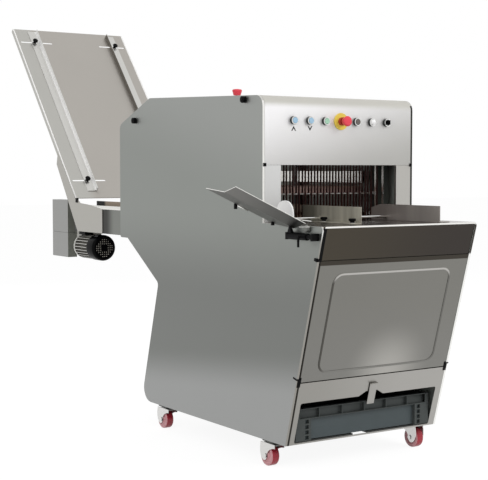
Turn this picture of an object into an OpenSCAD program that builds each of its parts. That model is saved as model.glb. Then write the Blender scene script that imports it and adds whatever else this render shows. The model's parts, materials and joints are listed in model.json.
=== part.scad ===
// Bread slicer: a sheet steel cabinet on castors with two slicing frames,
// an infeed belt with a sloping chute at the back and an outfeed table at the front.
// X runs to the right as seen from the front, Y to the back and Z up.
// The floor is at Z = 0, the middle of the width at X = 0 and the hood face at Y = 0.

/* [Cabinet] */
// Width over the side panels
body_w = 680; // [660:10:720]
// Depth from the hood face to the rear edge
body_d = 1070; // [1050:10:1120]
// Height of the outfeed table
table_h = 855; // [845:5:860]
// Reach of the table in front of the hood face
table_reach = 352; // [340:4:372]
// Reach of the front foot in front of the hood face
foot_reach = 139; // [130:3:150]
// Rise of the hood front over the table
hood_rise = 443; // [435:4:475]
// Rise of the ridge over the hood front
ridge_rise = 28; // [20:4:60]
// Height of the hood front over its seam
hood_front_l = 242; // [230:4:258]
// Half width of the slicing window
window_half = 262; // [250:2:262]
// Thickness of the sheet steel
sheet = 2; // [1.5:0.5:2.5]
// Width of the folded edge of a side panel
panel_edge = 9; // [8:1:12]

/* [Front] */
// Length of the apron under the table, along the slope
apron_l = 117; // [100:1:130]
// Length of the lower front panel along the slope
lower_l = 232.3; // [224:0.1:240]
// Height of the crate opening along the slope
mouth_l = 150; // [146:1:154]

/* [Castors] */
// Height of the cabinet over the floor
floor_gap = 96; // [90:2:110]
// Diameter of a castor wheel
wheel_d = 75; // [65:1:80]
// Width of a castor wheel
wheel_w = 32; // [26:1:36]
// Distance from the swivel axis to the wheel axle
trail = 28; // [22:1:34]

/* [Crate] */
// Length of the crumb crate across the machine
crate_w = 600; // [560:5:602]
// Depth of the crumb crate
crate_d = 400; // [360:5:420]
// Height of the crumb crate
crate_h = 111; // [105:1:113]

/* [Slicing] */
// Distance between neighbouring blades
blade_pitch = 14; // [11:1:16]
// Crank radius, half of the stroke
crank_r = 12; // [8:1:14]
// Radius of the flywheel pulley
flywheel_r = 107; // [90:1:120]
// Radius of the motor pulley
motor_pulley_r = 42; // [36:1:60]

/* [Infeed] */
// Length of the chute plate
chute_l = 1100; // [900:20:1160]
// Angle of the chute to the floor
chute_tilt = 49.4; // [44:0.2:54]
// Width of the infeed belt
belt_w = 460; // [400:10:470]
// Radius of a belt roller
roller_r = 30; // [24:1:32]
// Height of the belt over the floor
belt_top_h = 866; // [856:2:876]
// Depth of a conveyor rail
rail_depth = 106; // [100:1:112]

/* [Hidden] */
$fn = 64;

// Steps of a rounded corner
arc_steps = 6;
// How far a cut runs past the face that it leaves
overrun = 5;
// Gap between neighbouring pieces of sheet
seam_gap = 0.3;
// Gap at a sliding face
slide_gap = 0.3;
// Radial clearance of a shaft in its bearing
run_gap = 0.06;

// Colours
panel_grey = [0.55, 0.56, 0.53];
steel = [0.76, 0.76, 0.74];
dark_steel = [0.42, 0.41, 0.39];
black = [0.08, 0.08, 0.08];
crate_grey = [0.29, 0.31, 0.32];
red = [0.75, 0.10, 0.12];

// Outline of the cabinet seen from the side, as [y, z, corner radius]
hood_h = table_h + hood_rise;
ridge_h = hood_h + ridge_rise;
seam_h = hood_h - hood_front_l;
ridge_y = 812;
rear_corner_drop = 100;
overhang_gap = 4;
overhang_h = belt_top_h - rail_depth - overhang_gap;
belly_l = 64;
waist_y = 745;
waist_h = 587;
tail_y = 887;
hood_r = 40;
ridge_r = 25;
rear_r = 30;
fold_r = 10;
waist_r = 20;
tail_r = 55;
tip_r = 12;
outline = [
    [-foot_reach, floor_gap, 0],
    [tail_y, floor_gap, tail_r],
    [waist_y, waist_h, waist_r],
    [body_d - belly_l, overhang_h, fold_r],
    [body_d, overhang_h, fold_r],
    [body_d, ridge_h - rear_corner_drop, rear_r],
    [ridge_y, ridge_h, ridge_r],
    [0, hood_h, hood_r],
    [0, table_h, 0],
    [-table_reach, table_h, tip_r]
];
inner_x = body_w / 2 - panel_edge;
lean = atan((table_reach - foot_reach) / (table_h - floor_gap));
slope_l = (table_h - floor_gap) / cos(lean);
top_slope = atan((ridge_h - hood_h) / ridge_y);

// Frame tubes
post_w = 25;
post_d = 40;
front_post_y = 164;
rear_post_y = 690;
frame_drop = 118;
frame_top_h = hood_h - frame_drop;
low_rail_rise = 144;
low_rail_h = floor_gap + low_rail_rise;
main_motor_r = 70;
motor_clear = 13;
main_motor_z = low_rail_h + main_motor_r + sheet + motor_clear;
pulley_centres = 230;
crank_z = main_motor_z + pulley_centres;
bearing_rise = 30;
mid_rail_h = crank_z - bearing_rise;
flat_t = 6;
flat_w = 60;
base_in = 19;
base_front_y = base_in - foot_reach;
base_rear_in = 67;
base_rear_y = tail_y - base_rear_in;
motor_plate_y = 400;
motor_plate_l = 240;
rail_x = inner_x - post_w;

// Points and arcs
function unit(v) = v / norm(v);
function turn(v, a) = [v[0] * cos(a) - v[1] * sin(a), v[0] * sin(a) + v[1] * cos(a)];
function flat(p) = [p[0], p[1]];
function side_normal(a, b) = let(d = unit(flat(b) - flat(a))) [-d[1], d[0]];
function round_corner(a, b, c) =
    let(u = unit(flat(a) - flat(b)), v = unit(flat(c) - flat(b)), half = acos(u * v) / 2)
    let(centre = flat(b) + unit(u + v) * b[2] / sin(half))
    let(start = flat(b) + u * b[2] / tan(half) - centre)
    let(sweep = -sign(u[0] * v[1] - u[1] * v[0]) * (180 - 2 * half))
    [for (k = [0 : arc_steps]) centre + turn(start, sweep * k / arc_steps)];
function corner(a, b, c) = b[2] > 0 ? round_corner(a, b, c) : [flat(b)];
function rounded(path) =
    let(n = len(path))
    [for (i = [0 : n - 1]) each corner(path[(i + n - 1) % n], path[i], path[(i + 1) % n])];
function shifted(a, b, c, d) =
    let(m = side_normal(a, b), n = side_normal(b, c), p = flat(b) + d * (m + n) / (1 + m * n))
    let(left = m[0] * n[1] - m[1] * n[0] > 0)
    [p[0], p[1], b[2] > 0 ? max(0, b[2] + (left ? -d : d)) : 0];
function inset(path, d) =
    let(n = len(path))
    [for (i = [0 : n - 1]) shifted(path[(i + n - 1) % n], path[i], path[(i + 1) % n], d)];
function end_shift(p, a, b, d) = let(q = flat(p) + d * side_normal(a, b)) [q[0], q[1], 0];
function open_inset(path, d) =
    let(n = len(path))
    [for (i = [0 : n - 1])
        i == 0 ? end_shift(path[0], path[0], path[1], d)
        : i == n - 1 ? end_shift(path[i], path[i - 1], path[i], d)
        : shifted(path[i - 1], path[i], path[i + 1], d)];
function folded(path, t) =
    let(n = len(path), back = open_inset(path, t))
    rounded(concat(path, [for (i = [n - 1 : -1 : 0]) back[i]]));
function outline_z(y) = hood_h + (ridge_h - hood_h) * y / ridge_y;

module along_x(start, length)
    translate([start, 0, 0]) rotate([90, 0, 90]) linear_extrude(length) children();
module along_y(start, length)
    translate([0, start, 0]) rotate([-90, 0, 0]) mirror([0, 1, 0]) linear_extrude(length) children();
module both_sides() {
    children();
    mirror([1, 0, 0]) children();
}
module block(low, high) translate(low) cube(high - low);
module rod_x(r, start, end) translate([start, 0, 0]) rotate([0, 90, 0]) cylinder(r = r, h = end - start);
module rod_y(r, start, end) translate([0, start, 0]) rotate([-90, 0, 0]) cylinder(r = r, h = end - start);
// A ring turned about Y: y runs from start to end
module tube_y(r, bore, start, end)
    difference() {
        rod_y(r, start, end);
        rod_y(bore, start - overrun, end + overrun);
    }
module rounded_square(half_w, low, high, r)
    polygon(rounded([[-half_w, low, r], [half_w, low, r], [half_w, high, r], [-half_w, high, r]]));

// The sloping front: x across, y inwards from the outer face, z up the slope from the table edge
module on_front() translate([0, -table_reach, table_h]) rotate([lean, 0, 0]) children();

// Side panels
module side_panel() {
    color(panel_grey) difference() {
        along_x(inner_x, panel_edge) polygon(rounded(outline));
        along_x(inner_x - overrun, panel_edge - sheet + overrun) polygon(rounded(inset(outline, sheet)));
    }
}
module left_side_panel() mirror([1, 0, 0]) side_panel();
module right_side_panel() side_panel();

// Control stations: a barrel through the sheet with a guard ring in front
station_pitch = 70;
station_drop = 85;
station_h = hood_h - station_drop;
barrel_r = 11;
ring_r = 15;
ring_l = 13;
top_ring_l = 5;
nut_l = 6;
barrel_l = 26;
cap_well = 9;
cap_r = 10.4;
cap_proud = 2;
lamp_dome = 5;
stem_r = 8.4;
button_travel = 4;
stop_plate_r = 30.5;
stop_plate_t = 5;
mushroom_r = 19.5;
mushroom_foot_r = 13.5;
mushroom_l = 29;
mushroom_crown = 4;
mushroom_edge = 5;
top_stop_x = -182;
top_stop_y = 408;
station_x = [for (i = [-3 : 3]) i * station_pitch];

module on_station(i) translate([station_x[i], 0, station_h]) children();
// The station on top of the hood, with its own Y pointing down into the cabinet
module on_top_station()
    translate([top_stop_x, top_stop_y, outline_z(top_stop_y)]) rotate([top_slope - 90, 0, 0]) children();
module bezel(stand, length) {
    front = -stand - length;
    difference() {
        union() {
            rod_y(ring_r, front, -stand);
            rod_y(barrel_r, -stand, barrel_l);
            rod_y(ring_r, sheet, sheet + nut_l);
        }
        rod_y(stem_r + run_gap, front - overrun, barrel_l + overrun);
        if (length > cap_well)
            rod_y(cap_r + slide_gap, front - overrun, front + cap_well);
    }
}
module push_cap() {
    rear = -ring_l + cap_well - button_travel - slide_gap;
    rod_y(cap_r, -ring_l - cap_proud, rear);
    rod_y(stem_r, rear - sheet, barrel_l);
}
// A dome turned about Y on a round base
module dome(r, rise, base) {
    dome_r = (r * r + rise * rise) / (2 * rise);
    spread = asin(r / dome_r);
    crown = [for (k = [0 : arc_steps - 1]) dome_r * [sin(spread * (1 - k / arc_steps)),
                                                     cos(spread * (1 - k / arc_steps))]];
    translate([0, base, 0]) rotate([90, 0, 0]) rotate_extrude()
        polygon(concat([[0, 0]], [for (p = crown) p + [0, rise - dome_r]], [[0, rise]]));
}
// A palm button: its head flares out to a crowned face
module mushroom(ring_front) {
    base = ring_front - button_travel - 2 * slide_gap;
    length = mushroom_l - button_travel;
    translate([0, base, 0]) rotate([90, 0, 0]) rotate_extrude()
        polygon(rounded([
            [0, 0, 0],
            [mushroom_foot_r, 0, 0],
            [mushroom_r, length - mushroom_edge, mushroom_edge],
            [mushroom_r - mushroom_edge, length - mushroom_crown / 2, mushroom_edge],
            [0, length, 0]
        ]));
    rod_y(stem_r, base - sheet, barrel_l);
}

// Hood: one sheet folded over the front, the top and the rear slope
hood_rear_drop = 216;
hood_rear_h = ridge_h - hood_rear_drop;
hood_lip = 14;
module hood_cover() {
    path = [
        [hood_lip, seam_h + seam_gap, 0],
        [0, seam_h + seam_gap, 0],
        [0, hood_h, hood_r],
        [ridge_y, ridge_h, ridge_r],
        [body_d, ridge_h - rear_corner_drop, rear_r],
        [body_d, hood_rear_h, 0]
    ];
    hood_half = inner_x - seam_gap;
    color(steel) difference() {
        along_x(-hood_half, 2 * hood_half) polygon(folded(path, -sheet));
        for (i = [0 : len(station_x) - 1])
            on_station(i) rod_y(barrel_r + slide_gap, -overrun, overrun);
        on_top_station() rod_y(barrel_r + slide_gap, -overrun, overrun);
    }
}

// Window jambs: two folded strips beside the slicing window
jamb_fold = 12;
module window_plate() {
    color(steel) both_sides() {
        block([window_half, 0, table_h + seam_gap], [inner_x - seam_gap, sheet, seam_h - seam_gap]);
        block([window_half, 0, table_h + seam_gap], [window_half + sheet, jamb_fold, seam_h - seam_gap]);
    }
}

// Rear cover: belly and back under the infeed opening
cover_up = 44;
cover_foot = floor_gap + cover_up;
module rear_cover() {
    back_share = cover_up / (waist_h - floor_gap);
    path = [
        [body_d, overhang_h, 0],
        [body_d - belly_l, overhang_h, fold_r],
        [waist_y, waist_h, waist_r],
        [tail_y + (waist_y - tail_y) * back_share, cover_foot, 0]
    ];
    half = inner_x - seam_gap;
    color(panel_grey) along_x(-half, 2 * half) polygon(folded(path, -sheet));
}

// Outfeed table with slots for the guide knobs
table_rear = 80;
table_lip = 6;
table_fold = 22;
slot_front_in = 117;
slot_rear_in = 277;
slot_places = [slot_front_in - table_reach, slot_rear_in - table_reach];
knob_stud_r = 4;
left_slot = [-236, -74];
right_slot = [136, 246];
module slot_x(span, y) {
    r = knob_stud_r + slide_gap;
    translate([0, y, table_h - sheet - overrun])
        linear_extrude(sheet + 2 * overrun) {
            for (x = span)
                translate([x, 0]) circle(r);
            translate([span[0], -r]) square([span[1] - span[0], 2 * r]);
        }
}
module outfeed_table() {
    half = inner_x - seam_gap;
    lip_y = table_lip * sin(lean) - table_reach;
    path = [
        [lip_y, table_h - table_lip * cos(lean), 0],
        [-table_reach, table_h, 0],
        [table_rear, table_h, 0],
        [table_rear, table_h - table_fold, 0]
    ];
    color(steel) difference() {
        along_x(-half, 2 * half) polygon(folded(path, -sheet));
        for (y = slot_places, span = [left_slot, right_slot])
            slot_x(span, y);
    }
}

// Front panels, door and hinges
panel_fold = 12;
door_gap = 2;
door_fold = 20;
hinge_w = 7;
hinge_l = 18;
clip_t = 1.5;
clip_w = 13;
clip_l = 31;
clip_band = 5;
clip_wrap = 20;
hinge_d = 22;
pin_r = 3;
pin_in = 6;
pin_up = 5;
pin_l = 20;
lug_w = 18;
lug_r = 6;
bead_half = 261;
bead_w = 7;
bead_t = 1.2;
bead_r = 40;
bead_top = 46;
bead_low = 26;
apron_gap = 4;
apron_top = table_lip + seam_gap;
door_top = apron_l + door_gap;
lower_top = slope_l - lower_l;
door_low = lower_top - 2 * door_gap;
door_half = inner_x - door_gap;
hinge_half = door_half - hinge_w;

module apron() {
    half = inner_x - apron_gap;
    color(dark_steel) on_front() {
        block([-half, 0, -apron_l], [half, sheet, -apron_top]);
        block([-half, 0, -apron_l], [half, panel_fold, sheet - apron_l]);
    }
}
module lug_profile() {
    circle(lug_r);
    translate([-pin_in + sheet / 2, -pin_up + sheet / 2]) square([pin_in, 2 * pin_up]);
}
module front_door() {
    low = -door_low;
    color(steel) on_front() difference() {
        union() {
            difference() {
                block([-door_half, 0, low], [door_half, door_fold, -door_top]);
                block([sheet - door_half, sheet, low + sheet],
                      [door_half - sheet, door_fold + overrun, -door_top - sheet]);
            }
            both_sides()
                block([hinge_half - door_gap - sheet, 0, low],
                      [hinge_half - door_gap, door_fold, low + hinge_l]);
            both_sides()
                block([hinge_half - door_gap - sheet, 0, low + hinge_l],
                      [door_half, door_fold, low + hinge_l + sheet]);
            both_sides() translate([0, pin_in, low + pin_up])
                along_x(hinge_half - door_gap - lug_w, lug_w) lug_profile();
            along_y(-bead_t, bead_t + sheet / 2) difference() {
                rounded_square(bead_half, low + bead_low, -door_top - bead_top, bead_r);
                rounded_square(bead_half - bead_w, low + bead_low + bead_w, -door_top - bead_top - bead_w,
                               bead_r - bead_w);
            }
        }
        both_sides() block([hinge_half - door_gap, -overrun, low - overrun],
                           [door_half + overrun, door_fold + overrun, low + hinge_l]);
        translate([0, pin_in, low + pin_up]) rod_x(pin_r + run_gap, -door_half, door_half);
    }
}
module door_hinges() {
    low = -door_low;
    clip_top = low + hinge_l - 2 * door_gap;
    color(black) on_front() both_sides() {
        block([hinge_half, 0, low - door_gap], [inner_x, hinge_d, low + hinge_l - door_gap]);
        translate([0, pin_in, low + pin_up]) rod_x(pin_r, hinge_half - pin_l, hinge_half + door_gap);
        block([hinge_half, -clip_t, clip_top - clip_l], [hinge_half + clip_w, 0, clip_top]);
        block([hinge_half, -clip_t, clip_top - clip_band], [body_w / 2 + clip_t, 0, clip_top]);
        block([body_w / 2, -clip_t, clip_top - clip_band], [body_w / 2 + clip_t, clip_wrap, clip_top]);
    }
}
mouth_half = 304;
mouth_low = 6;
mouth_r = 7;
notch_half = 58;
notch_top_half = 25;
notch_l = 17;
module lower_front_panel() {
    half = inner_x - seam_gap;
    low = mouth_low - slope_l;
    color(steel) on_front() difference() {
        union() {
            block([-half, 0, -slope_l], [half, sheet, -lower_top]);
            block([-half, 0, -lower_top - sheet], [half, panel_fold, -lower_top]);
        }
        along_y(-overrun, panel_fold + overrun) rounded_square(mouth_half, low, low + mouth_l, mouth_r);
        along_y(-overrun, panel_fold + overrun)
            polygon([[-notch_half, low + mouth_l - sheet], [notch_half, low + mouth_l - sheet],
                     [notch_top_half, low + mouth_l + notch_l],
                     [-notch_top_half, low + mouth_l + notch_l]]);
    }
}

// Base frame: two tubes, cross flats, crate runners and castor plates, welded
runner_w = 30;
runner_t = 5.7;
runner_l = 420;
notch_in_half = 32;
notch_in_l = 45;
crate_z = floor_gap + flat_t + runner_t + slide_gap;
module base_frame() {
    flats = [base_front_y, (base_front_y + base_rear_y - flat_w) / 2, base_rear_y - flat_w];
    color(dark_steel) {
        both_sides()
            block([rail_x, base_front_y, floor_gap], [inner_x, base_rear_y, floor_gap + post_d]);
        difference() {
            for (y = flats)
                block([-rail_x, y, floor_gap], [rail_x, y + flat_w, floor_gap + flat_t]);
            block([-notch_in_half, base_front_y - overrun, floor_gap - overrun],
                  [notch_in_half, base_front_y + notch_in_l, floor_gap + flat_t + overrun]);
        }
        both_sides()
            block([crate_w / 2 - runner_w, base_front_y, floor_gap + flat_t],
                  [crate_w / 2, base_front_y + runner_l, floor_gap + flat_t + runner_t]);
        for (x = [-castor_x, castor_x], y = [castor_front_y, castor_rear_y])
            on_castor(x, y, 0) castor_base();
    }
}

// Upright frames: posts, rails and cross beams, welded
bearing_beam_y = 280;
hold_beam_y = 430;
module upright_frames() {
    post_low = floor_gap + post_d;
    color(dark_steel) {
        both_sides() {
            for (y = [front_post_y, rear_post_y])
                block([rail_x, y, post_low], [inner_x, y + post_d, frame_top_h]);
            for (h = [frame_top_h, mid_rail_h, low_rail_h])
                block([rail_x, front_post_y, h - post_d], [inner_x, rear_post_y + post_d, h]);
        }
        for (y = [front_post_y, bearing_beam_y])
            block([-rail_x, y, mid_rail_h - post_d], [rail_x, y + post_d, mid_rail_h]);
        difference() {
            block([-rail_x, hold_beam_y, frame_top_h - post_d],
                  [rail_x, hold_beam_y + post_d, frame_top_h]);
            both_sides() on_column() cylinder(r = column_r + run_gap, h = frame_top_h);
        }
        block([-rail_x, motor_plate_y, low_rail_h - flat_t],
              [rail_x, motor_plate_y + motor_plate_l, low_rail_h]);
    }
}

// Hold-down: a skid over the loaves on two columns, with a blade guide rod between the frames
hold_half = 200;
hold_front_y = 215;
hold_rear_y = 700;
loaf_room = 80;
hold_h = belt_top_h + loaf_room;
hold_fold = 30;
column_x = 120;
column_r = 10;
column_over = 12;
column_top_h = frame_top_h + column_over;
comb_half = window_half;
comb_r = 3;
comb_arm_t = 3;
comb_arm_h = 10;
module on_column() translate([column_x, hold_beam_y + post_d / 2, 0]) children();
module hold_down() {
    comb_y = (frame_y[0] + frame_y[1]) / 2;
    color(steel) {
        block([-hold_half, hold_front_y, hold_h], [hold_half, hold_rear_y, hold_h + sheet]);
        both_sides() block([hold_half - sheet, hold_front_y, hold_h],
                           [hold_half, hold_rear_y, hold_h + hold_fold]);
        for (y = [hold_front_y, hold_rear_y - sheet])
            block([-hold_half, y, hold_h], [hold_half, y + sheet, hold_h + hold_fold]);
        block([-comb_half, hold_front_y, hold_h], [comb_half, hold_front_y + sheet, hold_h + hold_fold]);
        both_sides()
            block([comb_half - comb_arm_t, comb_y - comb_r, hold_h],
                  [comb_half, hold_front_y + sheet, hold_h + comb_arm_h]);
        translate([0, comb_y, hold_h + comb_arm_h / 2])
            rod_x(comb_r, -comb_half + comb_arm_t / 2, comb_half - comb_arm_t / 2);
        both_sides() on_column() translate([0, 0, hold_h]) {
            cylinder(r = column_r, h = column_top_h - hold_h);
            cylinder(r = 2 * column_r, h = 2 * column_r);
        }
    }
}

// Castors
castor_in = 32;
castor_front_in = 109;
castor_rear_in = 171;
castor_x = body_w / 2 - castor_in;
castor_front_y = castor_front_in - foot_reach;
castor_rear_y = tail_y - castor_rear_in;
castor_plate_w = 62;
castor_plate_t = 4;
swivel_r = 21;
swivel_t = 8;
kingpin_r = 6;
crown_t = 5;
kingpin_head_r = 10;
kingpin_head_t = 3;
fork_t = 3;
fork_front = 30;
fork_rear = 14;
fork_skirt = 8;
fork_arc = 30;
fork_clear = 1.5;
axle_r = 5;
axle_head_r = 8;
axle_head_t = 3;
hub_r = 13;
hub_recess = 3;
tread_r = 5;
rim_r = 26;
swivel_low = floor_gap - castor_plate_t - swivel_t;
crown_low = swivel_low - slide_gap - crown_t;
fork_half = wheel_w / 2 + fork_clear;

module on_castor(x, y, turned) translate([x, y, 0]) rotate([0, 0, turned]) children();
module castor_base() {
    half = castor_plate_w / 2;
    block([-half, -half, floor_gap - castor_plate_t], [half, half, floor_gap]);
    translate([0, 0, swivel_low]) cylinder(r = swivel_r, h = swivel_t);
    translate([0, 0, crown_low - slide_gap]) cylinder(r = kingpin_r, h = crown_t + swivel_t);
    translate([0, 0, crown_low - slide_gap - kingpin_head_t])
        cylinder(r = kingpin_head_r, h = kingpin_head_t);
}
module castor_fork(x, y, turned) {
    axle_z = wheel_d / 2;
    top = crown_low + crown_t;
    color(steel) on_castor(x, y, turned) {
        difference() {
            block([-fork_half - fork_t, -fork_front, crown_low],
                  [fork_half + fork_t, trail + fork_rear, top]);
            translate([0, 0, crown_low - overrun])
                cylinder(r = kingpin_r + run_gap, h = crown_t + 2 * overrun);
        }
        both_sides() {
            along_x(fork_half, fork_t)
                polygon(rounded([
                    [-fork_front, top, 0],
                    [-fork_front, crown_low - fork_skirt, 0],
                    [trail - axle_head_r, crown_low - fork_skirt, fork_arc],
                    [trail - axle_head_r, axle_z - axle_head_r, axle_head_r / 2],
                    [trail + axle_head_r, axle_z - axle_head_r, axle_head_r],
                    [trail + fork_rear, axle_z + fork_rear, fork_rear],
                    [trail + fork_rear, top, 0]
                ]));
            translate([0, trail, axle_z])
                rod_x(axle_head_r, fork_half + fork_t, fork_half + fork_t + axle_head_t);
        }
        translate([0, trail, axle_z]) rod_x(axle_r, -fork_half - fork_t, fork_half + fork_t);
    }
}
module castor_wheel(x, y, turned) {
    r = wheel_d / 2;
    half = wheel_w / 2;
    bore = axle_r + run_gap;
    section = rounded([
        [bore, -half, 0], [hub_r, -half, 0], [hub_r + hub_recess, hub_recess - half, 0],
        [rim_r - hub_recess, hub_recess - half, 0], [rim_r, -half, 0], [r, -half, tread_r],
        [r, half, tread_r], [rim_r, half, 0], [rim_r - hub_recess, half - hub_recess, 0],
        [hub_r + hub_recess, half - hub_recess, 0], [hub_r, half, 0], [bore, half, 0]
    ]);
    color(red) on_castor(x, y, turned) translate([0, trail, r]) rotate([0, 90, 0])
        rotate_extrude() polygon(section);
}
module castor_fork_fl() castor_fork(-castor_x, castor_front_y, 0);
module castor_fork_fr() castor_fork(castor_x, castor_front_y, 180);
module castor_fork_rl() castor_fork(-castor_x, castor_rear_y, 0);
module castor_fork_rr() castor_fork(castor_x, castor_rear_y, 0);
module castor_wheel_fl() castor_wheel(-castor_x, castor_front_y, 0);
module castor_wheel_fr() castor_wheel(castor_x, castor_front_y, 180);
module castor_wheel_rl() castor_wheel(-castor_x, castor_rear_y, 0);
module castor_wheel_rr() castor_wheel(castor_x, castor_rear_y, 0);

// Crumb crate: a stacking crate with a ribbed rim
crate_out = 7;
crate_front_y = -foot_reach - crate_out;
crate_wall = 3;
rim_w = 14;
rim_t = 37;
rib_t = 3;
rib_count = 6;
corner_w = 65;
corner_d = 40;
pocket_w = 15;
pocket_h = 13;
pocket_l = 10;
pocket_in = 40;
pocket_count = 4;
module crumb_crate() {
    half = crate_w / 2;
    rear_y = crate_front_y + crate_d;
    rim_z = crate_z + crate_h - rim_t;
    color(crate_grey) {
        difference() {
            block([rim_w - half, crate_front_y + rim_w, crate_z],
                  [half - rim_w, rear_y - rim_w, crate_z + crate_h]);
            block([rim_w + crate_wall - half, crate_front_y + rim_w + crate_wall, crate_z + crate_wall],
                  [half - rim_w - crate_wall, rear_y - rim_w - crate_wall, crate_z + crate_h + overrun]);
        }
        for (z = [rim_z, crate_z + crate_h - crate_wall])
            difference() {
                block([-half, crate_front_y, z], [half, rear_y, z + crate_wall]);
                block([rim_w + crate_wall / 2 - half, crate_front_y + rim_w + crate_wall / 2,
                       z - overrun],
                      [half - rim_w - crate_wall / 2, rear_y - rim_w - crate_wall / 2,
                       z + crate_wall + overrun]);
            }
        for (i = [0 : rib_count], y = [crate_front_y, rear_y - rim_w - crate_wall / 2])
            translate([-half + i * (crate_w - rib_t) / rib_count, y, rim_z])
                cube([rib_t, rim_w + crate_wall / 2, rim_t]);
        for (x = [-half, half - rim_w - crate_wall / 2],
             y = [crate_front_y, (crate_front_y + rear_y) / 2])
            translate([x, y, rim_z]) cube([rim_w + crate_wall / 2, rib_t, rim_t]);
        crate_corners();
        translate([0, crate_front_y + rear_y, 0]) mirror([0, 1, 0]) crate_corners();
    }
}
// The two front corner posts, each with a column of open pockets
module crate_corners() {
    half = crate_w / 2;
    band = rim_w + crate_wall / 2;
    rim_z = crate_z + crate_h - rim_t;
    pitch = (rim_z - crate_z) / pocket_count;
    both_sides() difference() {
        union() {
            block([half - corner_w, crate_front_y, crate_z],
                  [half, crate_front_y + band, rim_z + crate_wall]);
            block([half - band, crate_front_y, crate_z],
                  [half, crate_front_y + corner_d, rim_z + crate_wall]);
        }
        for (i = [0 : pocket_count - 1])
            translate([half - pocket_in - pocket_w, crate_front_y - overrun,
                       crate_z + (i + 0.5) * pitch - pocket_h / 2])
                cube([pocket_w, overrun + pocket_l, pocket_h]);
    }
}
// Pull handle: a strap that hooks over the crate rim and stands in front of the panel
handle_w = 32;
handle_t = 3;
handle_top = 205.3;
handle_low = 124.3;
handle_gap = 2;
handle_foot_w = 12;
module crate_handle() {
    half = handle_w / 2;
    top = handle_top - slope_l;
    low = handle_low - slope_l;
    foot_z = table_h + low * cos(lean) - handle_gap * sin(lean) + handle_t / 2;
    foot_y = -table_reach - low * sin(lean) - handle_gap * cos(lean);
    color(steel) {
        on_front() {
            block([-half, -handle_gap - handle_t, low], [half, -handle_gap, top]);
            block([-half, -handle_gap - 3 * handle_t, top - handle_t], [half, -handle_gap, top]);
        }
        block([half - handle_gap - handle_foot_w, foot_y - handle_t, foot_z],
              [half - handle_gap, crate_front_y, foot_z + handle_t]);
    }
}

// Controls
module control_bezels() {
    color(steel) {
        for (i = [0 : len(station_x) - 1])
            on_station(i) bezel(station_x[i] == 0 ? stop_plate_t : 0, ring_l);
        on_top_station() bezel(0, top_ring_l);
    }
}
module stop_ring()
    color("gold") translate([0, 0, station_h])
        tube_y(stop_plate_r, barrel_r + slide_gap, -stop_plate_t, 0);
module up_button() color("steelblue") on_station(0) push_cap();
module down_button() color("steelblue") on_station(1) push_cap();
module start_button() color("mediumseagreen") on_station(2) push_cap();
module emergency_stop() color(red) on_station(3) mushroom(-stop_plate_t - ring_l);
module stop_button() color(black) on_station(4) push_cap();
module lamp_button()
    color("white") on_station(5) {
        push_cap();
        dome(cap_r, lamp_dome, -ring_l - cap_proud);
    }
selector_l = 10;
selector_t = 6;
module selector_knob() {
    color(black) on_station(6) {
        push_cap();
        block([-selector_t / 2, -ring_l - cap_proud - selector_l, -cap_r],
              [selector_t / 2, -ring_l - cap_proud, cap_r]);
    }
}
module top_stop_button() color(red) on_top_station() mushroom(-top_ring_l);

// Clamp knobs on the side panels
side_knob_r = 12;
side_knob_l = 14;
side_knob_front_in = 112;
side_knob_front_drop = 15;
side_knob_rear_in = 139;
side_knob_rear_drop = 86;
side_knob_places = [
    [side_knob_front_in, outline_z(side_knob_front_in) - side_knob_front_drop],
    [body_d - side_knob_rear_in, ridge_h - side_knob_rear_drop]
];
module side_knobs()
    color(black) both_sides() for (p = side_knob_places)
        translate([0, p[0], p[1]]) {
            rod_x(side_knob_r, body_w / 2, body_w / 2 + side_knob_l);
            rod_x(side_knob_r / 2, body_w / 2, body_w / 2 + side_knob_l + sheet);
        }

// Scoop on the left of the table, on a bar along Y
scoop_tilt = 24.3;
scoop_l = 300;
scoop_gap = 5;
scoop_drop = 9;
scoop_z = table_h - scoop_drop;
scoop_fold_in = 157;
scoop_fold_y = scoop_fold_in - table_reach;
scoop_front_w = 55;
scoop_front_rise = 19;
scoop_rear_w = 120;
scoop_rear_rise = 11;
bar_drop = 35;
bar_out = 18;
bar_r = 8;
bar_in = 24;
bar_l = 163;
bar_front_y = bar_in - table_reach;
bar_rear_y = bar_front_y + bar_l;
bar_block_d = 18;
bar_block_h = 30;
scoop_hub_r = 15;
scoop_hub_in = 38;
scoop_hub_l = 115;
scoop_hub_front_y = bar_front_y + scoop_hub_in;
scoop_hub_rear_y = scoop_hub_front_y + scoop_hub_l;
scoop_arm_w = 20;
lever_in = 24;
lever_y = scoop_hub_front_y + lever_in;
lever_r = 6;
lever_boss = 10;
lever_l = 34;
lever_tip_r = 4;
scoop_x = -body_w / 2 - scoop_gap;
bar_x = -body_w / 2 - bar_out;
bar_z = table_h - bar_drop;
module on_bar() translate([bar_x, 0, bar_z]) children();
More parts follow.
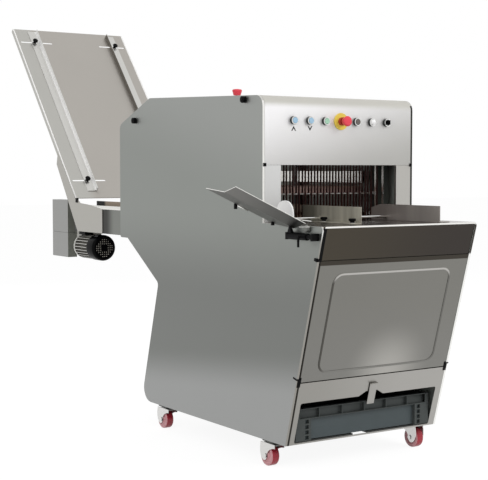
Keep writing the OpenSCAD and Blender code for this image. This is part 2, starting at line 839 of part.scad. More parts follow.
module scoop() {
    path = [
        [scoop_fold_y - scoop_front_w, scoop_front_rise, 0],
        [scoop_fold_y, 0, fold_r],
        [scoop_fold_y + scoop_rear_w, scoop_rear_rise, 0]
    ];
    arm_low_x = bar_x - scoop_arm_w / 2;
    arm_high_x = bar_x + scoop_arm_w / 2 - scoop_gap / 2;
    color(panel_grey) {
        translate([scoop_x, 0, scoop_z]) rotate([0, scoop_tilt, 0])
            along_x(-scoop_l, scoop_l) polygon(folded(path, -sheet));
        difference() {
            union() {
                on_bar() rod_y(scoop_hub_r, scoop_hub_front_y, scoop_hub_rear_y);
                along_y(scoop_fold_y - scoop_arm_w / 2, scoop_arm_w)
                    polygon([[arm_low_x, bar_z], [arm_high_x, bar_z],
                             [arm_high_x, scoop_z + (scoop_x - arm_high_x) * tan(scoop_tilt) - sheet / 2],
                             [arm_low_x, scoop_z + (scoop_x - arm_low_x) * tan(scoop_tilt) - sheet / 2]]);
            }
            on_bar() rod_y(bar_r + run_gap, scoop_hub_front_y - overrun, scoop_hub_rear_y + overrun);
        }
    }
}
module scoop_bracket() {
    color(black) {
        on_bar() rod_y(bar_r, bar_front_y, bar_rear_y);
        for (y = [bar_front_y, bar_rear_y - bar_block_d / 2])
            block([bar_x - bar_block_h / 3, y, bar_z - bar_block_h / 2],
                  [-body_w / 2, y + bar_block_d / 2, bar_z + bar_block_h / 2]);
    }
}
module clamp_lever() {
    hub_face = bar_x - scoop_hub_r - slide_gap;
    color(black) translate([0, lever_y, bar_z]) {
        rod_x(lever_r, hub_face - lever_boss, hub_face);
        translate([hub_face - lever_boss / 2, 0, -lever_l]) cylinder(r = lever_tip_r, h = lever_l);
    }
}

// Loaf stop: a rounded plastic plate that stands at the left of the table
stop_in = 15;
stop_x = stop_in - body_w / 2;
stop_t = 6;
stop_front_in = 188;
stop_l = 97;
stop_front_y = stop_front_in - table_reach;
stop_rear_y = stop_front_y + stop_l;
stop_h = 80;
stop_foot = 24;
module loaf_stop() {
    middle = (stop_front_y + stop_rear_y) / 2;
    half = (stop_rear_y - stop_front_y) / 2;
    color("white") {
        translate([0, middle, 0]) along_x(stop_x - stop_t / 2, stop_t)
            polygon(rounded([[-half, table_h, 0], [half, table_h, 0],
                             [half, table_h + stop_h, half - stop_t],
                             [-half, table_h + stop_h, half - stop_t]]));
        block([stop_x, stop_front_y, table_h], [stop_x + stop_foot, stop_rear_y, table_h + stop_t / 2]);
    }
}

// Table guides: upright plates along Y that slide on a rod and in the table slots
guide_h = 58;
guide_t = 3;
guide_foot = 45;
guide_front_in = [100, 37];
guide_rear_in = 18;
guide_rear_y = table_rear - guide_rear_in;
guide_chamfer_l = 55;
guide_chamfer_h = 14;
guide_x = [-104, 196];
guide_rod_y = -30;
guide_rod_z = 13;
guide_rod_r = 5;
guide_bush_r = 9;
guide_bush_l = 14;
rod_in = 26;
rod_half = inner_x - rod_in;
rod_block_w = 12;
rod_block_d = 24;
rod_block_h = 26;
knob_r = 13;
knob_h = 16;
knob_in = 26;
nut_r = 8;
nut_t = 6;
module guide_rod() {
    color(steel) {
        translate([0, guide_rod_y, table_h + guide_rod_z]) rod_x(guide_rod_r, -rod_half, rod_half);
        both_sides()
            block([rod_half - rod_block_w, guide_rod_y - rod_block_d / 2, table_h],
                  [rod_half, guide_rod_y + rod_block_d / 2, table_h + rod_block_h]);
    }
}
// A guide in its own frame: the plate at x = 0 and its foot on the positive side
module table_guide(front_y) {
    foot_z = table_h + slide_gap;
    top_z = table_h + guide_h;
    difference() {
        union() {
            along_x(-guide_t / 2, guide_t)
                polygon([[front_y, foot_z], [guide_rear_y, foot_z],
                         [guide_rear_y, top_z - guide_chamfer_h],
                         [guide_rear_y - guide_chamfer_l, top_z], [front_y, top_z]]);
            block([-guide_t / 2, front_y, foot_z], [guide_foot, guide_rear_y, foot_z + guide_t]);
            translate([0, guide_rod_y, table_h + guide_rod_z])
                rod_x(guide_bush_r, -guide_t / 2, guide_bush_l);
        }
        translate([0, guide_rod_y, table_h + guide_rod_z])
            rod_x(guide_rod_r + run_gap, -guide_t - overrun, guide_bush_l + overrun);
    }
    stud_low = table_h - sheet - slide_gap - nut_t;
    for (y = slot_places)
        translate([knob_in, y, 0]) {
            color(black) translate([0, 0, foot_z + guide_t]) cylinder(r = knob_r, h = knob_h);
            color(black) translate([0, 0, stud_low])
                cylinder(r = knob_stud_r, h = foot_z + guide_t - stud_low);
            color(steel) translate([0, 0, stud_low]) cylinder(r = nut_r, h = nut_t);
        }
}
module left_table_guide()
    color(steel) translate([guide_x[0], 0, 0]) mirror([1, 0, 0])
        table_guide(guide_front_in[0] - table_reach);
module right_table_guide()
    color(steel) translate([guide_x[1], 0, 0]) table_guide(guide_front_in[1] - table_reach);

// Infeed conveyor
conv_front_y = 166;
conv_rear_y = 1590;
conv_low_h = belt_top_h - rail_depth;
conv_top_h = belt_top_h;
conv_lip = 15;
conv_t = 3;
conv_flange = 25;
belt_t = 3;
bed_t = 5;
strip_x = 233;
strip_t = 6;
strip_h = 32;
nose_in = 34;
nose_y = conv_front_y + nose_in;
drive_in = 50;
drive_y = conv_rear_y - drive_in;
bed_clear = 12;
cross_w = 30;
cross_in = 65;
cross_gap = 500;
cross_first_y = 400;
cross_places = [for (i = [0 : 2]) cross_first_y + i * cross_gap];
hanger_y = conv_rear_y - cross_in;
guard_drop = 67;
guard_w = 45;
guard_low_h = seam_h - guard_drop;
guard_top_h = guard_low_h + guard_w;
guard_t = 6;
guard_front_y = 245;
guard_rear_in = 10;
guard_rear_y = body_d - guard_rear_in;
journal_r = 10;
roller_z = belt_top_h - belt_t - slide_gap - roller_r;
module conveyor_frame() {
    bed_h = belt_top_h - belt_t - slide_gap;
    color(steel) {
        difference() {
            both_sides() along_y(conv_front_y, conv_rear_y - conv_front_y)
                polygon(folded([
                    [rail_x - conv_flange, conv_low_h, 0],
                    [rail_x, conv_low_h, 0],
                    [rail_x, conv_top_h, 0],
                    [rail_x - conv_lip, conv_top_h + conv_lip, 0]
                ], conv_t));
            for (y = [nose_y, drive_y])
                translate([0, y, roller_z]) rod_x(journal_r + run_gap, -body_w, body_w);
        }
        block([-rail_x + conv_t / 2, nose_y + roller_r + bed_clear, bed_h - bed_t],
              [rail_x - conv_t / 2, drive_y - roller_r - bed_clear, bed_h]);
        both_sides()
            block([strip_x, nose_y + roller_r + bed_clear, bed_h - bed_t / 2],
                  [strip_x + strip_t, drive_y - roller_r - bed_clear, belt_top_h + strip_h]);
        both_sides()
            block([rail_x - guard_t, guard_front_y, guard_low_h], [rail_x, guard_rear_y, guard_top_h]);
        for (y = concat(cross_places, [hanger_y]))
            block([-rail_x + conv_t / 2, y, conv_low_h + conv_t / 2],
                  [rail_x - conv_t / 2, y + cross_w, conv_low_h + conv_t / 2 + cross_w]);
    }
}
module belt_loop(r) {
    for (y = [nose_y, drive_y])
        translate([y, roller_z]) circle(r);
    translate([nose_y, roller_z - r]) square([drive_y - nose_y, 2 * r]);
}
module conveyor_belt()
    color("saddlebrown") along_x(-belt_w / 2, belt_w) difference() {
        belt_loop(roller_r + slide_gap + belt_t);
        belt_loop(roller_r + slide_gap);
    }
module roller(y) {
    color(black) translate([0, y, roller_z]) {
        rod_x(roller_r, -belt_w / 2, belt_w / 2);
        rod_x(journal_r, slide_gap - rail_x, rail_x - slide_gap);
    }
}
module nose_roller() roller(nose_y);
module drive_roller() roller(drive_y);

// Gearmotor under the conveyor, with its fan cover and drive box
motor_x = -258;
motor_drop = 70;
motor_z = conv_low_h - motor_drop;
motor_r = 46;
motor_fin_r = 55;
motor_fin_t = 3;
motor_fin_count = 24;
motor_l = 146;
motor_rear_y = conv_rear_y;
motor_front_y = motor_rear_y - motor_l;
gear_x = -254;
gear_w = 84;
gear_l = 150;
gear_rear_y = motor_rear_y + gear_l;
hanger_t = 15;
flange_r = 54;
flange_t = 12;
terminal_w = 44;
terminal_l = 60;
terminal_in = 90;
terminal_y = motor_rear_y - terminal_in;
fan_r = 58;
fan_t = 2.5;
fan_l = 66;
fan_lap = 6;
fan_edge = 12;
grille_rings = 4;
grille_spokes = 8;
grille_bar = 3;
hub_cap_r = 10;
box_x = -300;
box_w = 46;
box_in = 64;
box_front_y = gear_rear_y - box_in;
box_l = 170;
box_drop = 57;
box_rise = 209;
box_seam_rise = 58;
box_low_h = motor_z - box_drop;
box_top_h = motor_z + box_rise;
box_seam_h = motor_z + box_seam_rise;
module on_motor() translate([motor_x, 0, motor_z]) children();
module gearmotor() {
    hang_h = conv_low_h + conv_t / 2;
    color(steel) {
        on_motor() {
            rod_y(motor_r, motor_front_y, motor_rear_y);
            rod_y(flange_r, motor_rear_y - flange_t, motor_rear_y);
            for (i = [0 : motor_fin_count - 1])
                rotate([0, i * 360 / motor_fin_count, 0])
                    block([-motor_fin_t / 2, motor_front_y, motor_r - motor_fin_t],
                          [motor_fin_t / 2, motor_rear_y - flange_t, motor_fin_r]);
        }
        block([gear_x, motor_rear_y - flange_t, motor_z - motor_r],
              [gear_x + gear_w, gear_rear_y, motor_z + motor_r]);
        block([gear_x, motor_rear_y, motor_z], [gear_x + gear_w, gear_rear_y, hang_h]);
        block([gear_x, hanger_y, hang_h - hanger_t], [gear_x + gear_w, gear_rear_y, hang_h]);
    }
}
module fan_cover() {
    front_y = motor_front_y + fan_lap - fan_l;
    rings = [for (i = [0 : grille_rings]) hub_cap_r + i * (fan_r - fan_edge - hub_cap_r) / grille_rings];
    terminal_low = motor_z + motor_fin_r + slide_gap;
    color(black) block([gear_x - terminal_w - slide_gap, terminal_y, terminal_low],
                       [gear_x - slide_gap, terminal_y + terminal_l, conv_low_h - slide_gap]);
    color(black) on_motor() {
        difference() {
            translate([0, front_y, 0]) rotate([-90, 0, 0]) rotate_extrude()
                polygon(rounded([[0, 0, 0], [fan_r, 0, fan_edge], [fan_r, fan_l, 0],
                                 [fan_r - fan_t, fan_l, 0],
                                 [fan_r - fan_t, fan_t, fan_edge - fan_t], [0, fan_t, 0]]));
            for (i = [0 : grille_rings - 1])
                difference() {
                    tube_y(rings[i + 1] - grille_bar, rings[i], front_y - overrun,
                           front_y + fan_t + overrun);
                    for (k = [0 : grille_spokes / 2 - 1])
                        rotate([0, k * 360 / grille_spokes, 0])
                            block([-fan_r, front_y - 2 * overrun, -grille_bar / 2],
                                  [fan_r, front_y + fan_l, grille_bar / 2]);
                }
        }
    }
}
module drive_box() {
    color(panel_grey) {
        difference() {
            block([box_x, box_front_y, box_low_h],
                  [box_x + box_w, box_front_y + box_l, box_seam_h - seam_gap]);
            block([box_x + sheet, box_front_y + sheet, box_low_h + sheet],
                  [box_x + box_w - sheet, box_front_y + box_l - sheet, box_seam_h + overrun]);
        }
        difference() {
            block([box_x, box_front_y, box_seam_h], [box_x + box_w, box_front_y + box_l, box_top_h]);
            block([box_x + sheet, box_front_y + sheet, box_seam_h - overrun],
                  [box_x + box_w - sheet, box_front_y + box_l - sheet, box_top_h - sheet]);
        }
    }
}

// Chute: x across, y up the slope from the lip, z out of the loaf face
chute_in = 10;
chute_step = 44;
chute_y = conv_rear_y - chute_in;
chute_z = belt_top_h + chute_step;
chute_fold = 20;
chute_lip = 22;
chute_slots = [105, 1010];
chute_slot_l = [160, 146];
chute_half = rail_x - seam_gap;
rail_places = [-188, 208];
rail_foot = 42;
rail_h = 22;
rail_t = 3;
rail_start = 40;
rail_end = 1085;
bracket_t = 3;
module on_chute() translate([0, chute_y, chute_z]) rotate([chute_tilt, 0, 0]) children();
chute_slot_x = [-203, 222];
module chute_plate() {
    r = knob_stud_r + slide_gap;
    color(steel) {
        on_chute() difference() {
            union() {
                block([-chute_half, 0, -sheet], [chute_half, chute_l, 0]);
                both_sides() block([chute_half - sheet, 0, -chute_fold], [chute_half, chute_l, 0]);
                block([-chute_half, chute_l - sheet, -chute_fold], [chute_half, chute_l, 0]);
            }
            for (k = [0, 1], s = chute_slots)
                translate([chute_slot_x[k], s, -sheet - overrun]) linear_extrude(sheet + 2 * overrun) {
                    for (e = [-1, 1])
                        translate([e * chute_slot_l[k] / 2, 0]) circle(r);
                    square([chute_slot_l[k], 2 * r], center = true);
                }
        }
        block([-chute_half, chute_y - chute_lip, chute_z - sheet],
              [chute_half, chute_y + sheet, chute_z]);
    }
}
// A chute guide in its own frame: upright at x = 0, foot on the positive side
module chute_guide() {
    color(steel) {
        block([-rail_t, rail_start, slide_gap], [0, rail_end, rail_h]);
        block([-rail_t, rail_start, slide_gap], [rail_foot, rail_end, slide_gap + rail_t]);
    }
    for (s = chute_slots)
        translate([knob_in, s, 0]) {
            color(black) translate([0, 0, slide_gap + rail_t]) cylinder(r = knob_r, h = knob_h);
            color(steel) translate([0, 0, -sheet - slide_gap - nut_t])
                cylinder(r = knob_stud_r, h = sheet + nut_t + rail_t);
            color(steel) translate([0, 0, -sheet - slide_gap - nut_t]) cylinder(r = nut_r, h = nut_t);
        }
}
module left_chute_guide() on_chute() translate([rail_places[0], 0, 0]) mirror([1, 0, 0]) chute_guide();
module right_chute_guide() on_chute() translate([rail_places[1], 0, 0]) chute_guide();
bracket_reach = 277;
bracket_low_l = 252;
bracket_up_l = 280;
bracket_shoulder = 35;
bracket_w = 48;
bracket_bend_l = 90;
bracket_bend_r = 120;
module chute_brackets() {
    up = [cos(chute_tilt), sin(chute_tilt)];
    out = [sin(chute_tilt), -cos(chute_tilt)];
    foot = [chute_y, chute_z];
    tip = foot + up * bracket_up_l;
    shoulder = foot + up * (bracket_up_l - bracket_shoulder) + out * bracket_w;
    front_y = chute_y - bracket_reach;
    color(panel_grey) both_sides() along_x(rail_x, bracket_t)
        polygon(rounded([
            [front_y, conv_low_h, fold_r],
            [front_y + bracket_low_l, conv_low_h, fold_r],
            [shoulder[0], shoulder[1], fold_r],
            [tip[0], tip[1], 0],
            [foot[0], foot[1], 0],
            [chute_y - chute_lip, chute_z, 0],
            [chute_y - bracket_bend_l, conv_top_h, bracket_bend_r],
            [front_y, conv_top_h, fold_r]
        ]));
}

// Slicing frames: two welded frames, each with its own set of blades and a yoke
frame_y = [98, 141];
frame_t = 12;
upright_w = 24;
upright_x = 278;
beam_h = 30;
yoke_drop = 45;
frame_low_h = crank_z + yoke_drop;
frame_high_drop = 68;
frame_high_h = hood_h - frame_high_drop;
blade_w = 11;
blade_t = 1;
yoke_half = 46;
yoke_l = 82;
crank_pin_r = 9;
yoke_play = 3;
front_blades = 19;
module blade_frame(k, count) {
    y = frame_y[k];
    slot_half = crank_r + crank_pin_r + yoke_play;
    slot_h = crank_pin_r + yoke_play;
    color(steel) translate([0, y - frame_t / 2, 0]) difference() {
        union() {
            both_sides() block([upright_x, 0, frame_low_h],
                               [upright_x + upright_w, frame_t, frame_high_h]);
            for (z = [frame_low_h, frame_high_h - beam_h])
                block([-upright_x, 0, z], [upright_x, frame_t, z + beam_h]);
            block([-yoke_half, 0, frame_low_h - yoke_l], [yoke_half, frame_t, frame_low_h]);
        }
        block([-slot_half, -overrun, crank_z - slot_h], [slot_half, frame_t + overrun, crank_z + slot_h]);
    }
    color([0.24, 0.17, 0.14]) for (i = [0 : count - 1])
        translate([(i - (count - 1) / 2) * 2 * blade_pitch - blade_t / 2, y - blade_w / 2,
                   frame_low_h + beam_h])
            cube([blade_t, blade_w, frame_high_h - frame_low_h - 2 * beam_h]);
}
module front_blade_frame() blade_frame(0, front_blades);
module rear_blade_frame() blade_frame(1, front_blades - 1);
guide_block_low = 284;
guide_block_h = 60;
guide_block_in = 80;
guide_block_down = 140;
guide_block_places = [frame_low_h + guide_block_in, frame_high_h - guide_block_down];
guide_block_front_y = 82;
module blade_guides() {
    color(black) both_sides() for (z = guide_block_places)
        difference() {
            block([guide_block_low, guide_block_front_y, z], [inner_x, front_post_y, z + guide_block_h]);
            for (y = frame_y)
                block([guide_block_low - overrun, y - frame_t / 2 - slide_gap, z - overrun],
                      [upright_x + upright_w + slide_gap, y + frame_t / 2 + slide_gap,
                       z + guide_block_h + overrun]);
        }
}

// Crank drive: overhung double crank, bearings, flywheel, belt and motor
shaft_r = 10;
web_r = 30;
web_t = 8;
web_gap = 3;
bearing_l = 30;
bearing_r = 20;
bearing_half = 32;
bearing_foot = 10;
flywheel_y = 335;
pulley_l = 30;
pulley_flange = 5;
pulley_flange_t = 4;
drive_belt_t = 6;
shaft_end_y = 370;
main_motor_y = 405;
main_motor_l = 225;
motor_shaft_r = 12;
motor_shaft_in = 40;
motor_feet_half = 90;
motor_cap_r = 60;
motor_cap_l = 20;
module on_crank() translate([0, 0, crank_z]) children();
module pulley(r) {
    rod_y(r, flywheel_y, flywheel_y + pulley_l);
    for (y = [flywheel_y, flywheel_y + pulley_l - pulley_flange_t])
        rod_y(r + pulley_flange, y, y + pulley_flange_t);
}
module crankshaft() {
    front_rear = frame_y[0] + frame_t / 2 + web_gap;
    rear_front = frame_y[1] - frame_t / 2 - web_gap;
    rear_rear = frame_y[1] + frame_t / 2 + web_gap;
    color(steel) on_crank() {
        translate([crank_r, 0, 0]) rod_y(crank_pin_r, frame_y[0] - frame_t / 2 - web_gap, front_rear);
        rod_y(web_r, front_rear, rear_front);
        translate([-crank_r, 0, 0]) rod_y(crank_pin_r, rear_front, rear_rear);
        rod_y(web_r, rear_rear, rear_rear + web_t);
        rod_y(shaft_r, rear_rear, shaft_end_y);
        pulley(flywheel_r);
    }
}
module shaft_bearings() {
    color(dark_steel) for (y = [front_post_y, bearing_beam_y])
        translate([0, y + (post_d - bearing_l) / 2, 0]) difference() {
            union() {
                block([-bearing_half, 0, mid_rail_h],
                      [bearing_half, bearing_l, mid_rail_h + bearing_foot]);
                block([-bearing_r, 0, mid_rail_h], [bearing_r, bearing_l, crank_z]);
                on_crank() rod_y(bearing_r, 0, bearing_l);
            }
            on_crank() rod_y(shaft_r + run_gap, -overrun, bearing_l + overrun);
        }
}
module on_main_motor() translate([0, 0, main_motor_z]) children();
module motor_pulley() {
    color(dark_steel) on_main_motor() {
        pulley(motor_pulley_r);
        rod_y(motor_shaft_r, flywheel_y + pulley_l, main_motor_y + motor_shaft_in);
    }
}
module main_motor() {
    rear_y = main_motor_y + main_motor_l;
    feet_y = main_motor_y + motor_cap_l;
    feet_rear_y = rear_y - motor_feet_half / 2;
    color([0.35, 0.38, 0.40]) difference() {
        union() {
            on_main_motor() {
                rod_y(main_motor_r, main_motor_y, rear_y);
                rod_y(motor_cap_r, main_motor_y - motor_cap_l, main_motor_y);
                rod_y(main_motor_r + sheet, feet_rear_y, rear_y);
            }
            block([-motor_feet_half, feet_y, low_rail_h],
                  [motor_feet_half, feet_rear_y, low_rail_h + bearing_foot]);
            block([-main_motor_r / 2, feet_y, low_rail_h], [main_motor_r / 2, feet_rear_y, main_motor_z]);
        }
        on_main_motor()
            rod_y(motor_shaft_r + run_gap, main_motor_y - motor_cap_l - overrun,
                  main_motor_y + motor_shaft_in + overrun);
    }
}
// Closed belt around both pulleys: two arcs joined by their common tangents
module belt_section(big, small) {
    rise = crank_z - main_motor_z;
    wrap = asin((big - small) / rise);
    side = [cos(wrap), -sin(wrap)];
    other = [-side[0], side[1]];
    top = [0, crank_z];
    low = [0, main_motor_z];
    translate(top) circle(big);
    translate(low) circle(small);
    polygon([top + side * big, top + other * big, low + other * small, low + side * small]);
}
module drive_belt() {
    slack = slide_gap;
    start = flywheel_y + pulley_flange_t + slack;
    color(black) along_y(start, pulley_l - 2 * pulley_flange_t - 2 * slack) difference() {
        belt_section(flywheel_r + slack + drive_belt_t, motor_pulley_r + slack + drive_belt_t);
        belt_section(flywheel_r + slack, motor_pulley_r + slack);
    }
}

left_side_panel();
right_side_panel();
hood_cover();
window_plate();
rear_cover();
outfeed_table();
apron();
door_hinges();
lower_front_panel();
base_frame();
upright_frames();
hold_down();
control_bezels();
stop_ring();
side_knobs();
scoop_bracket();
loaf_stop();
guide_rod();
conveyor_frame();
conveyor_belt();
gearmotor();
fan_cover();
drive_box();
chute_plate();
chute_brackets();
blade_guides();
shaft_bearings();
main_motor();
drive_belt();
front_door();
crumb_crate();
crate_handle();
castor_fork_fl();
castor_fork_fr();
castor_fork_rl();
castor_fork_rr();
castor_wheel_fl();
castor_wheel_fr();
castor_wheel_rl();
castor_wheel_rr();
up_button();
down_button();
start_button();
emergency_stop();
stop_button();
lamp_button();
selector_knob();
top_stop_button();
scoop();
clamp_lever();
left_table_guide();
right_table_guide();
left_chute_guide();
right_chute_guide();
drive_roller();
nose_roller();
front_blade_frame();
rear_blade_frame();
crankshaft();
motor_pulley();
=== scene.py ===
# %% [markdown]
# # A bread slicer in stainless steel
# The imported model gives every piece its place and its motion. This lesson dresses it: sheet edges get
# their small folds, knobs and wheels get their moulded forms, and each surface gets a finish made of nodes.
# X points right, Y back and Z up, and the floor is at Z = 0. Places in the frame are in metres, and the
# sizes of new shapes are in millimetres, which the shape helpers turn into metres.

# %% Open the frame
import json
import math

import bmesh
import bpy
from mathutils import Matrix, Vector

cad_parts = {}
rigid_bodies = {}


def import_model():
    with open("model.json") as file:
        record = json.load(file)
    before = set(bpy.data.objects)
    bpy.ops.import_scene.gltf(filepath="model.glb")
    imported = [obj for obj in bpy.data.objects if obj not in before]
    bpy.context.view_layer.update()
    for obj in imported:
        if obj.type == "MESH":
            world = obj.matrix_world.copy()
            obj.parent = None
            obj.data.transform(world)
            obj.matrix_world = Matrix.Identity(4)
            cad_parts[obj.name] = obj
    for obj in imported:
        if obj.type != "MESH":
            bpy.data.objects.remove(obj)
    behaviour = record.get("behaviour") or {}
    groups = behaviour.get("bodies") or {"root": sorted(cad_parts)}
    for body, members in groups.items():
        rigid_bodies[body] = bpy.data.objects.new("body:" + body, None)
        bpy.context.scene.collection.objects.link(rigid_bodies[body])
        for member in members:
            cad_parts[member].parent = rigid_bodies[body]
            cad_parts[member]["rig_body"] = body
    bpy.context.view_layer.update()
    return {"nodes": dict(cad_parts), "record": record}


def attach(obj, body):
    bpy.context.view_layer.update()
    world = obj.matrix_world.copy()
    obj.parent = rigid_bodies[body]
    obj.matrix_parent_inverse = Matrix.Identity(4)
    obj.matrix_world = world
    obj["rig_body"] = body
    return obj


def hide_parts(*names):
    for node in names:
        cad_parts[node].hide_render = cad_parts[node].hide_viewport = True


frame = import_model()
cad_nodes = frame["nodes"]

# %% [markdown]
# ## Camera
# The lens was fitted to the photograph: it stands left of the machine, a little above the table and 4.4 m
# away, and looks slightly down. A camera in Blender looks along its own -Z, so a track quaternion turns it.

# %% Camera
VIEW_TURN = math.radians(-33.13)
VIEW_PITCH = math.radians(3.32)
LENS_PIXELS = 1215.19
IMAGE_WIDTH = 488
SENSOR = 36.0
LENS_PLACE = (-2.69808, -3.49590, 1.04032)

lens = bpy.data.cameras.new("photo_lens")
lens.sensor_width = SENSOR
lens.sensor_fit = "HORIZONTAL"
lens.lens = LENS_PIXELS * SENSOR / IMAGE_WIDTH
lens.clip_end = 100
camera = bpy.data.objects.new("photo_camera", lens)
camera.location = LENS_PLACE
level = math.cos(VIEW_PITCH)
sight = Vector((-math.sin(VIEW_TURN) * level, math.cos(VIEW_TURN) * level, -math.sin(VIEW_PITCH)))
camera.rotation_euler = sight.to_track_quat("-Z", "Y").to_euler()
bpy.context.scene.collection.objects.link(camera)
bpy.context.scene.camera = camera
bpy.context.scene.view_settings.view_transform = "Standard"
print("camera: lens %.1f mm" % lens.lens)

# %% [markdown]
# ## A way to write shader maths
# Node trees get long when every link is a line of its own. One class wraps a socket, so that sums of sockets
# read like sums of numbers, and one method adds any other node with its settings and its inputs.

# %% Shader helper
class Wire:
    """A socket in a finish: sums with numbers and other wires add Math nodes."""

    def __init__(self, finish, socket):
        self.finish = finish
        self.socket = socket

    def sum(self, operation, first, second):
        return self.finish.node("ShaderNodeMath", {"operation": operation}, {0: first, 1: second})["Value"]

    def __add__(self, other):
        return self.sum("ADD", self, other)

    def __radd__(self, other):
        return self.sum("ADD", other, self)

    def __sub__(self, other):
        return self.sum("SUBTRACT", self, other)

    def __rsub__(self, other):
        return self.sum("SUBTRACT", other, self)

    def __mul__(self, other):
        return self.sum("MULTIPLY", self, other)

    def __rmul__(self, other):
        return self.sum("MULTIPLY", other, self)


class Made:
    """A node in a finish: indexing by an output's name or number gives its wire."""

    def __init__(self, finish, node):
        self.finish = finish
        self.node = node

    def __getitem__(self, name):
        return Wire(self.finish, self.node.outputs[name])


class Finish:
    """A material with one Principled shader. Plain values go straight to its sockets."""

    def __init__(self, name, **values):
        self.material = bpy.data.materials.new(name)
        self.material.use_nodes = True
        self.tree = self.material.node_tree
        self.shader = self.tree.nodes["Principled BSDF"]
        for socket, value in values.items():
            self.shader.inputs[socket.replace("_", " ")].default_value = value

    def node(self, kind, settings=None, sockets=None):
        made = self.tree.nodes.new(kind)
        for name, value in (settings or {}).items():
            setattr(made, name, value)
        for key, value in (sockets or {}).items():
            self.put(made.inputs[key], value)
        return Made(self, made)

    def put(self, socket, value):
        if isinstance(value, Wire):
            self.tree.links.new(value.socket, socket)
        else:
            socket.default_value = value

    def feed(self, socket, wire):
        self.put(self.shader.inputs[socket], wire)

    def spot(self):
        return self.node("ShaderNodeTexCoord")["Object"]

    def noise(self, scale, detail=2.0, stretch=(1, 1, 1)):
        place = self.node("ShaderNodeMapping", None, {"Vector": self.spot(), "Scale": stretch})["Vector"]
        sockets = {"Vector": place, "Scale": scale, "Detail": detail}
        return self.node("ShaderNodeTexNoise", None, sockets)["Fac"]

    def measured(self, operation, other):
        """A number from the place on the object and another vector."""
        sockets = {0: self.spot(), 1: other}
        return self.node("ShaderNodeVectorMath", {"operation": operation}, sockets)["Value"]

    def smooth(self, value, start, end):
        """Goes smoothly from 0 to 1 while a value goes from start to end."""
        sockets = {"Value": value, "From Min": start, "From Max": end}
        return self.node("ShaderNodeMapRange", {"interpolation_type": "SMOOTHSTEP"}, sockets)["Result"]

    def between(self, way, start, end):
        """Rises from 0 to 1 between two places along a direction of the object."""
        return self.smooth(self.measured("DOT_PRODUCT", way), start, end)

    def halo(self, centre, reach):
        """Falls from 1 at a place to 0 at a distance from it."""
        return self.smooth(self.measured("DISTANCE", centre), reach, 0.0)

    def blend(self, share, first, second):
        """Two colours mixed by a wire."""
        return self.node("ShaderNodeMix", {"data_type": "RGBA"}, {0: share, 6: first, 7: second})[2]

    def scaled(self, colour, factor):
        """A colour made lighter or darker by a wire."""
        sockets = {0: colour if isinstance(colour, Wire) else colour[:3], "Scale": factor}
        return self.node("ShaderNodeVectorMath", {"operation": "SCALE"}, sockets)["Vector"]

    def bump(self, height, strength, distance):
        sockets = {"Height": height, "Strength": strength, "Distance": distance}
        self.feed("Normal", self.node("ShaderNodeBump", None, sockets)["Normal"])


def tone(red, green, blue):
    """A display colour in the linear light that shaders use."""
    return tuple(((part / 255 + 0.055) / 1.055) ** 2.4 for part in (red, green, blue)) + (1.0,)


print("shader helper ready")

# %% [markdown]
# ## Finishes
# Stainless sheet is ground in one direction. The grain is a noise that is stretched along that direction,
# and it works on the colour, the roughness and a very fine bump. A slow second noise gives the cloudy look
# of wiped steel. A drift paints light and shade into a sheet: it passes from one tone to another, such as a
# lighter top or a shadowed edge. A glow is a painted highlight that lightens a sheet round one place.

# %% Steel
GRAIN_ACROSS = 1400
GRAIN_ALONG = 9
GRAIN_TINT, GRAIN_ROUGH, CLOUD_ROUGH = 0.06, 0.10, 0.08
GRAIN_BUMP, GRAIN_DEPTH = 0.08, 0.00012
X, Y, Z = (1, 0, 0), (0, 1, 0), (0, 0, 1)
FRONT_RUN, FRONT_DROP = 213, 759
FRONT_LEAN = math.atan2(FRONT_RUN, FRONT_DROP)
SLANT = (0, -math.sin(FRONT_LEAN), math.cos(FRONT_LEAN))


def steel(name, colour, rough, grain=2, painted_shading=(), cloud=0.04, metallic=1.0, streak=(1, 1, 1), glow=()):
    """Ground steel. A drift paints light or shade by a direction, two places and a tone; a glow paints a
    highlight by a place, a reach and a tone.
    """
    made = Finish(name, Metallic=metallic)
    stretch = [GRAIN_ACROSS] * 3
    stretch[grain] = GRAIN_ALONG
    lines = made.noise(1.0, 2.0, stretch)
    wiped = made.noise(5.0, 3.0, streak)
    # Each drift paints light or shade into the colour.
    for way, start, end, far in painted_shading:
        colour = made.blend(made.between(way, start, end), colour, far)
    # Each glow paints a highlight round one place.
    for centre, reach, far in glow:
        colour = made.blend(made.halo(centre, reach), colour, far)
    shade = wiped * (2 * cloud) + (lines - 0.5) * GRAIN_TINT + (1 - cloud)
    made.feed("Base Color", made.scaled(colour, shade))
    made.feed("Roughness", (lines - 0.5) * GRAIN_ROUGH + (wiped - 0.5) * CLOUD_ROUGH + rough)
    made.bump(lines, GRAIN_BUMP, GRAIN_DEPTH)
    return made.material


